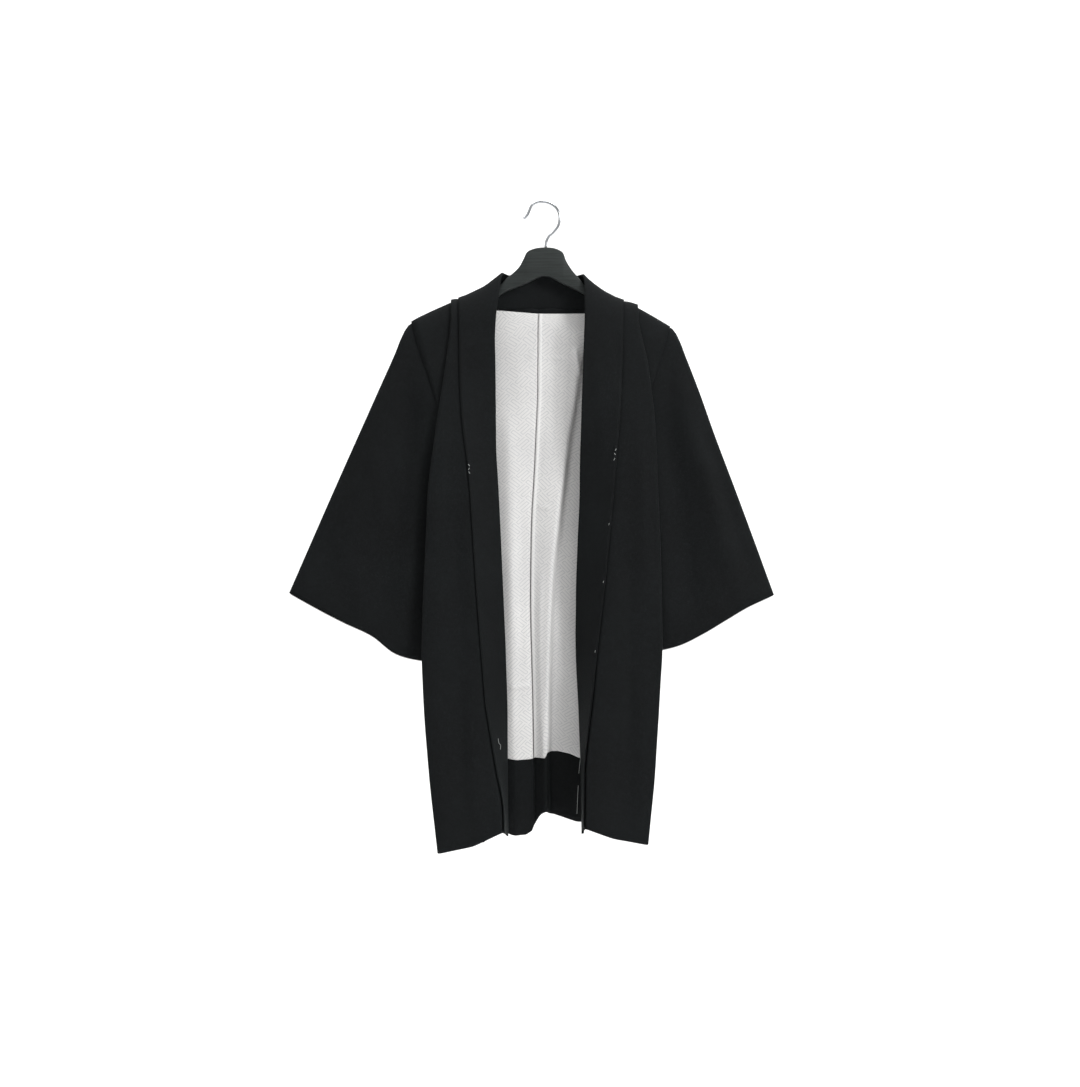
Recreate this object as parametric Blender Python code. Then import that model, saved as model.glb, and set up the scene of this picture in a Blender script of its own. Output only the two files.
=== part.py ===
"""Haori: an open-fronted kimono jacket in black crepe, hung on a black wooden coat hanger.

Sizes are in millimetres. +X is to the right seen from the front, the front faces -Y and +Z is up.
The origin is the inside top of the hanger's hook.
"""

import bmesh
import bpy
import numpy as np

MM = 0.001

# Cloth
CREPE = 1.4  # wall of the body, sleeves, gussets and each layer of the collar
LINING = 1.0  # wall of the lining and of the turned-up hem
SEAM = 0.3  # room between two pieces at a seam
CUFF_RIM = 1.2  # how far the sleeve's lining shows past the cuff
CUFF_FROM = 0.96  # share of the way along the sleeve where the band of lining inside the cuff begins

# Collar
LAYER_ROOM = 1.5  # room between the collar's two layers
LAYERS = CREPE + LAYER_ROOM  # from its over layer to its under layer, middle to middle
CREASE = 2.0  # how round the collar's creased edge is
PANEL_LAP = 14.0  # the body's edge reaches this far under the collar's free edge
UNDER_FROM = PANEL_LAP + 2 * SEAM  # how far from the free edge the under layer begins, beside the body's edge

# Body
RIDGE_RUN = 0.03  # run over which the folds turn over the top of the shoulder
MIDDLE = 0.55  # share of the body's middle line that comes from the collar's free edge, the rest from the fold
FOLD_EASING = (0.0, 4.0, 6.0, 0.0)  # how much each line of the body is eased, from the inner edge to the fold
TIGHTNESS = 0.9  # radius of a fold's turn as a share of its layers' distance
BACK_FOLD_IN = 5.0  # the outer fold lies this much further in at the back
BACK_FOLD_RUN = 0.2  # run by which it has moved in
HEM_RUN = 0.1  # run over which the back's hem rises or falls

# Lining
CLOSE = CREPE / 2 + SEAM + LINING / 2  # from the middle of the back's wall to the middle of a layer on it
FAR = CLOSE + LINING + SEAM  # the same, over the turned-up hem
NECK_EASE = 1.2  # extra room for the lining where the back is pleated below the collar
LINING_HALF = 84.0  # how far out the lining's top edge reaches on each side
LINING_TOP = -173.4  # height of the lining's top edge, just under the collar's inner layer
LINING_FROM, LINING_TO = 0.045, 0.872  # runs where the lining begins and ends
TURN_UP_FROM = 0.835  # run where the turned-up hem begins
LINING_OFF = (
    # run, from the back's wall to the lining's, middle to middle
    (0.060, CLOSE + NECK_EASE),
    (0.110, CLOSE),
    (0.776, CLOSE),
    (TURN_UP_FROM, FAR),
    (1.000, FAR),
)
BACK_COLUMNS = {"left": 5, "right": 6}  # lines of the back from its centre seam that lining and hem cover

# Hanger
ARM_HALF = 5.0  # half the thickness of the wooden arms
ARM_EDGE = 2.6  # bevel along the wood's edges
WIRE = 2.3  # radius of the hook's wire

# How deep the folded layers lie, going down from the shoulder to the hem
# run: share of the way down; layer: outer layer from the hanger's plane; gap: one layer to the next
DEPTH = (
    # run, layer, gap, end
    (0.000, 0.0, 2.5, 0.0),
    (0.003, 6.5, 2.5, 4.4),
    (0.009, 10.6, 2.5, 7.2),
    (0.018, 13.4, 2.6, 9.0),
    (0.030, 15.8, 2.7, 10.6),
    (0.060, 18.6, 3.2, 12.2),
    (0.110, 22.4, 3.6, 15.2),
    (0.200, 27.0, 3.9, 19.2),
    (0.285, 30.0, 4.0, 21.0),
    (0.320, 30.8, 4.0, 17.0),
    (0.356, 31.5, 4.0, 12.0),
    (0.450, 33.0, 4.0, 13.0),
    (0.600, 35.0, 4.0, 17.0),
    (0.800, 37.0, 4.0, 22.0),
    (1.000, 40.0, 4.0, 27.0),
)

# Where the body's folds run, measured out from the hanger's middle
# fold: outer fold edge; valley: bottom of the fold behind it; end: armhole edge, then side seam
FOLDS = {
    "left": (
        # run, fold, valley, end
        (0.000, 150.0, 143.0, 214.0),
        (0.030, 149.6, 141.0, 207.5),
        (0.060, 151.4, 141.5, 200.0),
        (0.110, 157.0, 143.0, 185.0),
        (0.200, 168.6, 143.0, 162.0),
        (0.243, 174.0, 139.0, 153.0),
        (0.285, 179.0, 135.0, 145.0),
        (0.320, 183.0, 132.0, 136.0),
        (0.356, 186.0, 129.0, 128.0),
        (0.450, 189.0, 123.0, 121.0),
        (0.541, 193.0, 118.0, 116.0),
        (0.657, 195.0, 111.0, 109.0),
        (0.776, 189.4, 104.0, 102.0),
        (0.883, 181.0, 99.0, 97.0),
        (1.000, 169.4, 96.0, 94.0),
    ),
    "right": (
        # run, fold, valley, end
        (0.000, 148.0, 141.0, 200.0),
        (0.030, 148.4, 139.0, 192.5),
        (0.060, 154.0, 138.0, 184.5),
        (0.110, 163.4, 136.0, 172.0),
        (0.200, 172.8, 129.0, 152.0),
        (0.243, 175.0, 126.0, 142.0),
        (0.285, 176.6, 123.0, 133.0),
        (0.320, 177.8, 120.0, 125.0),
        (0.356, 179.0, 117.0, 117.0),
        (0.450, 182.4, 110.0, 108.0),
        (0.541, 184.2, 103.0, 101.0),
        (0.640, 185.4, 97.0, 95.0),
        (0.770, 179.0, 94.0, 92.0),
        (0.883, 172.6, 93.0, 91.0),
        (1.000, 162.6, 92.0, 90.0),
    ),
}

# Height of each fold line at the shoulder and at the hem, front and back
# middle: halfway between the collar's free edge and the fold
HEIGHTS = {
    "left": {
        # line: top, front hem, back hem
        "middle": (-156.2, -1022.0, -1016.0),
        "fold": (-157.8, -1033.0, -1020.0),
        "valley": (-156.2, -1016.0, -1008.0),
        "end": (-189.6, -1008.0, -1004.0),
    },
    "right": {
        "middle": (-162.0, -1010.0, -1000.0),
        "fold": (-165.8, -1019.0, -1008.0),
        "valley": (-164.4, -1004.0, -1000.0),
        "end": (-200.4, -998.0, -994.0),
    },
}

# Collar, one row per section from the front hem (-1) over the shoulder (0) to the back of the neck
# free: the turned-out edge; crease: the edge beside the opening
COLLAR = {
    "left": (
        # run, free out, free y, free z, crease out, crease y, crease z
        (-1.000, 64.5, -42.0, -1000.0, 59.0, 17.0, -1012.0),
        (-0.950, 66.0, -41.4, -957.0, 59.3, 17.0, -966.0),
        (-0.870, 79.0, -40.2, -890.0, 59.5, 14.0, -894.0),
        (-0.758, 94.0, -38.8, -797.0, 60.0, 9.0, -799.0),
        (-0.646, 102.0, -37.6, -703.0, 63.0, 6.5, -704.0),
        (-0.536, 109.0, -36.3, -610.0, 67.0, 4.0, -610.0),
        (-0.427, 115.0, -34.8, -519.0, 71.0, 3.0, -519.0),
        (-0.356, 119.0, -33.6, -459.0, 74.0, 2.0, -459.0),
        (-0.285, 125.0, -32.1, -399.0, 77.5, -2.0, -399.0),
        (-0.243, 130.0, -30.6, -364.0, 78.0, -6.0, -364.0),
        (-0.187, 134.0, -28.4, -317.0, 78.5, -11.0, -317.0),
        (-0.131, 136.0, -25.2, -270.0, 79.0, -16.0, -270.0),
        (-0.048, 137.0, -19.4, -200.0, 80.0, -20.5, -200.0),
        (-0.030, 137.4, -17.7, -183.5, 78.0, -21.0, -180.0),
        (-0.018, 138.0, -15.3, -172.0, 75.5, -20.0, -159.0),
        (-0.009, 138.4, -12.2, -162.8, 72.5, -17.5, -141.5),
        (-0.003, 138.5, -7.4, -156.4, 71.2, -14.5, -129.5),
        (0.000, 138.5, 0.0, -153.6, 70.2, -11.0, -121.5),
        (0.003, 138.3, 7.4, -156.2, 69.2, -7.5, -117.6),
        (0.009, 137.0, 12.2, -161.4, 68.4, -2.5, -115.4),
        (0.018, 131.0, 15.8, -168.6, 67.0, 4.5, -114.4),
        (0.030, 113.0, 20.0, -175.0, 62.0, 12.0, -113.2),
        (0.034, 84.0, 22.7, -178.2, 50.0, 15.5, -111.8),
        (0.037, 42.0, 26.6, -180.0, 26.0, 20.8, -110.4),
    ),
    "right": (
        # run, free out, free y, free z, crease out, crease y, crease z
        (-1.000, 60.8, -42.0, -994.0, 59.0, 17.5, -1007.0),
        (-0.870, 62.5, -40.2, -885.0, 57.0, 17.5, -890.0),
        (-0.760, 74.0, -38.8, -794.0, 53.0, 15.0, -797.0),
        (-0.667, 82.0, -37.8, -717.0, 48.5, 10.0, -718.0),
        (-0.532, 95.0, -36.2, -605.0, 49.5, 3.0, -605.0),
        (-0.421, 104.0, -34.7, -513.0, 53.0, -4.0, -513.0),
        (-0.374, 108.0, -33.9, -474.0, 55.0, -8.0, -474.0),
        (-0.297, 113.0, -32.4, -410.0, 55.5, -13.0, -410.0),
        (-0.229, 118.0, -30.2, -353.0, 57.5, -19.0, -353.0),
        (-0.172, 121.0, -27.6, -306.0, 59.0, -22.0, -306.0),
        (-0.072, 124.0, -21.3, -223.0, 62.0, -22.0, -223.0),
        (-0.030, 124.6, -17.7, -186.5, 63.5, -21.0, -180.0),
        (-0.018, 125.2, -15.3, -175.5, 63.6, -20.0, -160.0),
        (-0.009, 125.8, -12.2, -166.8, 63.5, -17.5, -143.0),
        (-0.003, 126.0, -7.4, -160.6, 63.2, -14.5, -131.5),
        (0.000, 126.0, 0.0, -157.8, 62.8, -11.0, -124.0),
        (0.003, 125.8, 7.4, -160.4, 62.0, -7.5, -120.0),
        (0.009, 124.4, 12.2, -165.2, 61.2, -2.5, -117.4),
        (0.018, 119.0, 15.8, -171.0, 60.0, 4.5, -115.6),
        (0.030, 103.0, 20.0, -175.8, 56.0, 12.0, -113.8),
        (0.034, 78.0, 22.6, -178.4, 45.0, 15.8, -112.0),
        (0.037, 39.0, 26.6, -180.1, 24.0, 20.8, -110.4),
    ),
}
COLLAR_MIDDLE = ((0.0, 27.6, -180.4), (0.0, 21.8, -110.0))  # free edge and crease at the back

# Inner part of the back: where its centre seam runs, then two fold lines on each side of it
BACK_SEAM = (
    # run, x, y
    (0.045, -9.6, 24.2),
    (0.060, -10.0, 25.0),
    (0.110, -10.4, 26.6),
    (0.200, -11.0, 28.8),
    (0.330, -16.0, 31.4),
    (0.450, -22.0, 33.2),
    (0.600, -22.6, 34.6),
    (0.800, -18.4, 37.0),
    (1.000, -16.6, 40.0),
)
BACK = {
    "left": (
        # run, first out, first y, second out, second y
        (0.045, 46.0, 23.4, 95.0, 21.6),
        (0.060, 48.0, 24.0, 94.0, 22.6),
        (0.110, 48.0, 25.6, 93.0, 25.8),
        (0.200, 46.0, 26.8, 92.0, 29.0),
        (0.330, 48.0, 27.4, 90.0, 32.0),
        (0.450, 52.0, 28.0, 89.0, 34.0),
        (0.600, 54.0, 28.6, 88.0, 36.0),
        (0.800, 50.0, 29.6, 86.0, 38.0),
        (1.000, 48.0, 30.6, 84.0, 40.0),
    ),
    "right": (
        # run, first out, first y, second out, second y
        (0.045, 44.0, 23.4, 84.0, 22.4),
        (0.060, 52.0, 24.2, 80.0, 23.6),
        (0.110, 58.0, 23.6, 67.0, 27.8),
        (0.193, 49.0, 21.8, 56.0, 31.6),
        (0.282, 36.0, 20.4, 43.0, 34.8),
        (0.376, 26.0, 19.6, 32.4, 36.6),
        (0.461, 16.5, 19.2, 22.6, 37.8),
        (0.565, 9.6, 19.2, 15.4, 38.8),
        (0.700, 5.4, 20.0, 11.2, 39.8),
        (0.872, 1.8, 22.4, 7.8, 41.4),
        (1.000, 3.0, 25.2, 9.4, 42.8),
    ),
}
BACK_LEVEL = (-132.0, 868.0)  # height of the back's centre at run 0, and its fall to run 1
BACK_TOP = -166.6  # height of the centre seam's top end, under the collar
BACK_DIP = (
    # run, how much lower the first and second line are than the centre
    (0.045, 14.0, 30.0),
    (0.060, 8.0, 21.0),
    (0.110, 3.0, 10.0),
    (0.200, 0.0, 3.0),
    (0.900, 0.0, 0.0),
)
BACK_HEM_RISE = {"left": (0.0, -10.0, -8.0), "right": (0.0, 24.0, 18.0)}  # of the seam and the two lines

# Sleeve outlines, seen from the front, measured out from the hanger's middle
SLEEVES = {
    "left": {
        "armhole": ((206.0, -188.8), (190.0, -238.0), (175.0, -281.0), (158.0, -337.0), (140.0, -430.0)),
        "top": (
            (206.0, -188.8), (218.0, -195.4), (225.0, -204.0), (229.0, -214.0), (240.0, -241.0),
            (282.5, -336.0), (344.0, -474.0), (409.0, -623.0),
        ),
        "cuff": (
            (409.0, -623.0), (354.0, -653.0), (311.0, -675.0), (270.0, -694.0), (229.0, -727.0),
            (198.0, -731.0), (129.0, -735.0),
        ),
        "under": ((140.0, -430.0), (135.0, -500.0), (131.0, -600.0), (128.0, -700.0), (129.0, -735.0)),
    },
    "right": {
        "armhole": ((191.0, -198.1), (173.0, -246.0), (156.0, -299.0), (142.0, -360.0), (129.0, -425.0)),
        "top": (
            (191.0, -198.1), (204.0, -204.2), (211.5, -213.5), (217.0, -225.0), (248.5, -306.0),
            (279.5, -394.0), (310.5, -474.0), (366.0, -626.0),
        ),
        "cuff": (
            (366.0, -626.0), (315.0, -649.0), (264.0, -682.0), (232.0, -698.0), (200.0, -713.0),
            (188.0, -714.5), (118.0, -719.0),
        ),
        "under": ((129.0, -425.0), (123.0, -500.0), (119.0, -600.0), (117.0, -690.0), (118.0, -719.0)),
    },
}
ARMHOLE_TO = 0.43  # run down to which the body's armhole layer is read
SEATED = 0.03  # share of the sleeve that lies under the body's edge
SPREAD = 0.2  # share over which it then narrows to a flat bag
ARMHOLE_CLOSES = 0.8  # share of the armhole's length after which the sleeve's two faces close to the underarm
SLEEVE_DEPTH = ((0.0, 10.0), (0.15, 9.0), (0.5, 10.0), (0.85, 12.0), (1.0, 13.0))  # share along it, half depth
FLATNESS = 5  # how flat the bag's faces are: the power of its rounding
NARROWER_BELOW = 0.45  # how much thinner the bag is at the underarm than at the top, as a share
# Where the sleeve's lines of points lie, as shares of the way across it and along it
SLEEVE_ACROSS = (0.0, 0.012, 0.05, 0.16, 0.32, 0.48, 0.64, 0.8, 0.93, 0.985, 1.0)
SLEEVE_ALONG = (0.0, 0.03, 0.07, 0.13, 0.25, 0.42, 0.6, 0.78, 0.92, 1.0)

# Hanger, seen from the front: its top edge and its underside, from the left end to the right end
HANGER_TOP = (
    (-195.0, -188.6), (-169.0, -176.4), (-150.0, -167.4), (-140.0, -164.6), (-127.0, -158.8), (-106.0, -149.8),
    (-91.0, -143.8), (-80.0, -138.6), (-73.0, -132.4), (-66.0, -125.0), (-60.0, -118.6), (-53.0, -113.0),
    (-41.0, -101.0), (-34.0, -88.0), (-28.5, -77.5), (-18.0, -72.5), (0.0, -70.2), (18.0, -72.5),
    (28.0, -78.0), (33.5, -91.0),
    (42.0, -105.0), (51.0, -116.0), (57.0, -123.0), (64.0, -133.0), (74.0, -140.5), (86.0, -147.4),
    (104.0, -156.6), (124.0, -165.8), (138.0, -171.8), (148.0, -175.4), (170.0, -188.4), (182.0, -195.8),
)
HANGER_UNDER = (
    (182.0, -212.0), (150.0, -199.0), (110.0, -180.0), (78.0, -158.0), (62.0, -145.5), (30.0, -129.5),
    (0.0, -116.5), (-30.0, -128.5), (-70.0, -145.5), (-86.0, -160.0), (-115.0, -178.0), (-160.0, -199.0),
    (-195.0, -210.0),
)
# Hook of round wire, seen from the front, from its tip over the top and down to the wood
HOOK = (
    (-34.0, -24.0), (-29.0, -19.5), (-25.6, -12.5), (-21.0, -3.0), (-12.0, 2.3), (-1.0, 2.6), (9.5, -0.5),
    (17.5, -6.5), (22.6, -15.5), (23.4, -26.0), (20.4, -37.0), (13.5, -46.0), (6.4, -52.5), (2.4, -60.0),
    (1.0, -69.7),
)
WIRE_SIDES = 10  # faces round the wire

# Runs at which the body has a line of points, from the front hem up to the shoulder and down to the back hem
RUNS_FRONT = (
    1.0, 0.95, 0.883, 0.82, 0.757, 0.7, 0.645, 0.59, 0.536, 0.48, 0.427, 0.39, 0.356, 0.32, 0.285, 0.243,
    0.2, 0.16, 0.11, 0.06, 0.03, 0.018, 0.009, 0.003,
)
RUNS_BACK = (
    0.003, 0.009, 0.018, 0.03, 0.034, 0.037, 0.045, 0.06, 0.11, 0.16, 0.2, 0.243, 0.285, 0.32, 0.356, 0.42,
    0.5, 0.6, 0.7, 0.776, 0.835, 0.872, 0.93, 1.0,
)
GUSSET_RUNS = (0.356, 0.42, 0.5, 0.6, 0.7, 0.82, 0.93, 1.0)
CHI_RUNS = {"left": (0.301, 0.309, 0.317), "right": (0.272, 0.281, 0.29)}  # where the tie loops are sewn on
CHI_WALL = 1.2  # wall of a tie loop
CHI_REACH = (1.0, 4.4)  # how far in from the collar's free edge it begins and ends

COLOURS = {
    # kind: colour, roughness, metallic
    "crepe": ((0.016, 0.017, 0.018), 0.85, 0.0),
    "lining": ((0.72, 0.71, 0.71), 0.6, 0.0),
    "wood": ((0.045, 0.052, 0.05), 0.45, 0.0),
    "wire": ((0.78, 0.79, 0.8), 0.18, 1.0),
}


def read(table, at):
    """Every column of a table of numbers, read between its rows at this value of the first column."""
    rows = np.array(table, float)
    return np.array([np.interp(at, rows[:, 0], rows[:, i]) for i in range(1, rows.shape[1])])


def along(points, share):
    """The point at this share of the length of a line of points."""
    points = np.array(points, float)
    lengths = np.concatenate([[0.0], np.cumsum(np.linalg.norm(np.diff(points, axis=0), axis=1))])
    at = share * lengths[-1]
    return np.array([np.interp(at, lengths, points[:, i]) for i in range(points.shape[1])])


def eased(keys, easing, spans, steps):
    """A line through the keys, so many points to each span, with each inner corner eased into a curve."""
    most = 0.46  # share of a span that a corner's curve may take
    keys = [np.array(key, float) for key in keys]
    line = [keys[0]]
    for i in range(1, len(keys)):
        before, here = keys[i - 1], keys[i]
        start = line[-1]
        if i == len(keys) - 1:
            stop, arc = here, []
        else:
            after = keys[i + 1]
            back, on = before - here, after - here
            near = here + back * min(easing[i] / np.linalg.norm(back), most)
            far = here + on * min(easing[i] / np.linalg.norm(on), most)
            stop = near
            arc = []
            for k in range(1, steps + 1):
                t = k / steps
                arc.append((1 - t) ** 2 * near + 2 * t * (1 - t) * here + t * t * far)
        for k in range(1, spans[i - 1] + 1):
            line.append(start + (stop - start) * k / spans[i - 1])
        line += arc
    return line


def collar_section(side, run):
    """Free edge and crease of the collar at this run, with the side's own sign on X."""
    sign = -1.0 if side == "left" else 1.0
    fo, fy, fz, co, cy, cz = read(COLLAR[side], run)
    return np.array((sign * fo, fy, fz)), np.array((sign * co, cy, cz))


def collar_runs():
    """The collar's sections lie on the rows of the body, so that the two stay the same distance apart."""
    return [-run for run in RUNS_FRONT] + [0.0] + [run for run in RUNS_BACK if run < LINING_FROM]


def over_layer(side_runs):
    """The collar's turned-out layer as a grid, from the left hem to the right, and its normals."""
    sections = [collar_section("left", run) for run in side_runs]
    sections.append((np.array(COLLAR_MIDDLE[0]), np.array(COLLAR_MIDDLE[1])))
    sections += [collar_section("right", run) for run in reversed(side_runs)]
    grid = []
    for free, crease in sections:
        length = np.linalg.norm(crease - free)
        towards = (crease - free) / length
        stops = (0.0, PANEL_LAP, UNDER_FROM, (PANEL_LAP + length) / 2, length - CREASE)
        grid.append([free + towards * stop for stop in stops])
    grid = np.array(grid)
    return grid, normals_of(grid)


def collar_edge(side, run):
    """Where the body's edge lies under the collar: its own edge, and a point under the collar's free edge."""
    runs = collar_runs()
    grid, normal = over_layer(runs)
    points = grid + under_side(normal) * LAYERS
    if side == "right":
        points = points[::-1]
    points = points[: len(runs)]
    return [np.array([np.interp(run, runs, points[:, i, axis]) for axis in range(3)]) for i in (1, 0)]


def under_side(normal):
    """The normals turned to point from the over layer to the under layer."""
    middle = len(normal) // 2
    return normal if normal[middle][2][1] < 0 else -normal


def under_layer(x, z, below=0.0):
    """How far back the collar's under layer is at this place behind the neck, less a distance."""
    def over(x, z):
        side = "left" if x < 0 else "right"
        found = [(np.array(COLLAR_MIDDLE[0]), np.array(COLLAR_MIDDLE[1]))]
        found += [collar_section(side, run) for run in (0.037, 0.034, 0.03, 0.018)]
        places = []
        for free, crease in found:
            place = free + (z - free[2]) / (crease[2] - free[2]) * (crease - free)
            places.append((abs(place[0]), place[1]))
        return float(np.interp(abs(x), [place[0] for place in places], [place[1] for place in places]))

    slope = np.array((over(x + 3, z) - over(x - 3, z), over(x, z + 3) - over(x, z - 3))) / 6
    return over(x, z) - (LAYERS + below) * np.sqrt(1 + slope @ slope)


def body_row(side, run, back, steps=1):
    """One line of points across half of the body, from its inner edge to the armhole or side seam."""
    sign = -1.0 if side == "left" else 1.0
    turn = 1.0 if back else -1.0
    fold, valley, end = read(FOLDS[side], run)
    layer, gap, end_depth = read(DEPTH, run)
    heights = HEIGHTS[side]
    tip = np.pi / 2 * min(1.0, run / RIDGE_RUN) ** 0.5

    def level(line):
        top, front_hem, back_hem = heights[line]
        return top + run * ((back_hem if back else front_hem) - top)

    def at(x, line, under):
        """A point of a fold line, with so many layers over it."""
        y = turn * (layer - under * gap * np.sin(tip))
        return (sign * x, y, level(line) - under * gap * np.cos(tip))

    if back:
        fold -= BACK_FOLD_IN * min(1.0, run / BACK_FOLD_RUN)
    if back and run >= LINING_FROM:
        seam_x, seam_y = read(BACK_SEAM, run)
        ax, ay, bx, by = read(BACK[side], run)
        dips = (0.0, *read(BACK_DIP, run))
        rise = [hem_rise * max(0.0, run - 1 + HEM_RUN) / HEM_RUN for hem_rise in BACK_HEM_RISE[side]]
        inner = []
        for i, (x, y) in enumerate(((seam_x + sign * SEAM / 2, seam_y), (sign * ax, ay), (sign * bx, by))):
            z = BACK_LEVEL[0] - run * BACK_LEVEL[1] - dips[i] + rise[i]
            if i == 0 and run == LINING_FROM:
                z = BACK_TOP
                y = under_layer(x, z)
            inner.append((x, y, z))
    else:
        edge, under = collar_edge(side, run if back else -run)
        x = MIDDLE * abs(under[0]) + (1 - MIDDLE) * fold
        y = MIDDLE * under[1] + (1 - MIDDLE) * turn * layer
        inner = [edge, under, (sign * x, y, level("middle"))]
    tight = TIGHTNESS * gap
    bends = np.linspace(np.pi / 2, -np.pi / 2, 2 * steps + 1)
    line = eased(inner + [at(fold - tight, "fold", 0)], FOLD_EASING, (1, 1, 2), steps)
    line += [at(fold - tight + tight * np.cos(bend), "fold", 0.5 - 0.5 * np.sin(bend)) for bend in bends[1:]]
    turned = [at(valley + tight - tight * np.cos(bend), "valley", 1.5 - 0.5 * np.sin(bend)) for bend in bends]
    line += eased([line[-1], turned[0]], (0, 0), (2,), 1)[1:] + turned[1:]
    line += eased([turned[-1], (sign * end, turn * end_depth, level("end"))], (0, 0), (2,), 1)[1:]
    return [np.array(point, float) for point in line]


def body_grid(side):
    rows = [body_row(side, run, False) for run in RUNS_FRONT]
    ridge = body_row(side, 0.0, False)
    return rows + [ridge] + [body_row(side, run, True) for run in RUNS_BACK]


def normals_of(grid, ring=False):
    """Unit normals of a grid of points, from its own rows and columns."""
    points = np.array(grid)
    down = np.gradient(points, axis=0)
    if ring:
        steps = np.roll(points, -1, axis=1) - points
    else:
        steps = np.diff(points, axis=1)
    steps = steps / np.maximum(np.linalg.norm(steps, axis=2, keepdims=True), 1e-9)
    if ring:
        across = steps + np.roll(steps, 1, axis=1)
    else:
        across = np.concatenate([steps[:, :1], steps[:, 1:] + steps[:, :-1], steps[:, -1:]], axis=1)
    normal = np.cross(down, across)
    return normal / np.maximum(np.linalg.norm(normal, axis=2, keepdims=True), 1e-12)


def sheet(name, grid, wall, material, ring=False, flipped=0, turned=None, square=None):
    """A closed wall of cloth built on both sides of a grid of points.

    A ring's rows close on themselves. The first flipped rows of cells are split along the other diagonal, and
    so are the cells from the turned column on, where the cloth doubles back.
    square gives the rows whose first point is at a centre seam, where the wall is cut straight back.
    """
    points = np.array(grid)
    normal = normals_of(grid, ring)
    if square:
        normal[square, 0, 0] = 0
        normal[square, 0, 2] = 0
        normal[square, 0] /= np.linalg.norm(normal[square, 0], axis=1, keepdims=True)
    rows, columns = points.shape[:2]
    mesh = bmesh.new()
    layers = []
    for offset in (wall / 2, -wall / 2):
        moved = (points + normal * offset) * MM
        layers.append([[mesh.verts.new(tuple(point)) for point in row] for row in moved])
    last = columns if ring else columns - 1
    for layer in layers:
        for j in range(rows - 1):
            for i in range(last):
                k = (i + 1) % columns
                a, b, c, d = layer[j][i], layer[j][k], layer[j + 1][k], layer[j + 1][i]
                if (j < flipped) != (turned is not None and i >= turned):
                    mesh.faces.new((a, b, d))
                    mesh.faces.new((b, c, d))
                else:
                    mesh.faces.new((a, b, c))
                    mesh.faces.new((a, c, d))
    upper, lower = layers
    for i in range(last):
        k = (i + 1) % columns
        for j in (0, -1):
            mesh.faces.new((upper[j][k], upper[j][i], lower[j][i], lower[j][k]))
    if not ring:
        for j in range(rows - 1):
            for i in (0, -1):
                mesh.faces.new((upper[j][i], upper[j + 1][i], lower[j + 1][i], lower[j][i]))
    return finish(name, mesh, material)


def finish(name, mesh, material):
    """Turns a closed mesh outward and puts it in the scene with its material."""
    bmesh.ops.recalc_face_normals(mesh, faces=mesh.faces)
    data = bpy.data.meshes.new(name)
    mesh.to_mesh(data)
    mesh.free()
    thing = bpy.data.objects.new(name, data)
    bpy.context.scene.collection.objects.link(thing)
    data.materials.append(material)
    return thing


def colour(name, kind):
    (red, green, blue), roughness, metallic = COLOURS[kind]
    made = bpy.data.materials.new(name)
    made.use_nodes = True
    shader = made.node_tree.nodes["Principled BSDF"]
    shader.inputs["Base Color"].default_value = (red, green, blue, 1.0)
    shader.inputs["Roughness"].default_value = roughness
    shader.inputs["Metallic"].default_value = metallic
    return made


def build_body(side):
    first = len(RUNS_FRONT) + 1 + RUNS_BACK.index(LINING_FROM)
    rows = list(range(first, len(RUNS_FRONT) + 1 + len(RUNS_BACK)))
    return sheet("body_" + side, body_grid(side), CREPE, colour("body_" + side, "crepe"), square=rows)


def build_collar():
    over, normal = over_layer(collar_runs())
    normal = under_side(normal)
    grid = []
    for points, down in zip(over, normal):
        towards = (points[4] - points[3]) / np.linalg.norm(points[4] - points[3])
        tip = points[4] + towards * CREASE + down[4] * LAYERS / 2
        under = points + down * LAYERS
        grid.append([*points, tip, *under[:1:-1]])
    return sheet("collar", grid, CREPE, colour("collar", "crepe"), flipped=len(RUNS_FRONT), turned=5)


def sleeve_point(side, share, across):
    """A point inside the sleeve's outline: share goes from armhole to cuff, across from top to underarm."""
    lines = SLEEVES[side]
    top, under = along(lines["top"], share), along(lines["under"], share)
    start, stop = along(lines["armhole"], across), along(lines["cuff"], across)
    corners = (
        (1 - share) * (1 - across) * np.array(lines["armhole"][0])
        + (1 - share) * across * np.array(lines["armhole"][-1])
        + share * (1 - across) * np.array(lines["cuff"][0])
        + share * across * np.array(lines["cuff"][-1])
    )
    return (1 - across) * top + across * under + (1 - share) * start + share * stop - corners


def armhole_lines(side):
    """The body's innermost layer, row by row: its inner and outer end, as out, depth and height."""
    runs = [0.0] + [run for run in reversed(RUNS_FRONT) if run < ARMHOLE_TO]
    rows = [body_row(side, run, False) for run in runs]
    return np.array([[abs(row[i][0]), -row[i][1], row[i][2]] for row in rows for i in (-3, -1)]).reshape(-1, 6)


def armhole_layer(lines, x, z):
    """How far from the hanger's plane that layer lies at this place, seen from the front."""
    share = np.clip((x - lines[:, 0]) / np.maximum(lines[:, 3] - lines[:, 0], 5.0), 0.0, 1.2)
    depths = lines[:, 1] + share * (lines[:, 4] - lines[:, 1])
    heights = lines[:, 2] + share * (lines[:, 5] - lines[:, 2])
    return float(np.interp(-z, -heights, depths))


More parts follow.
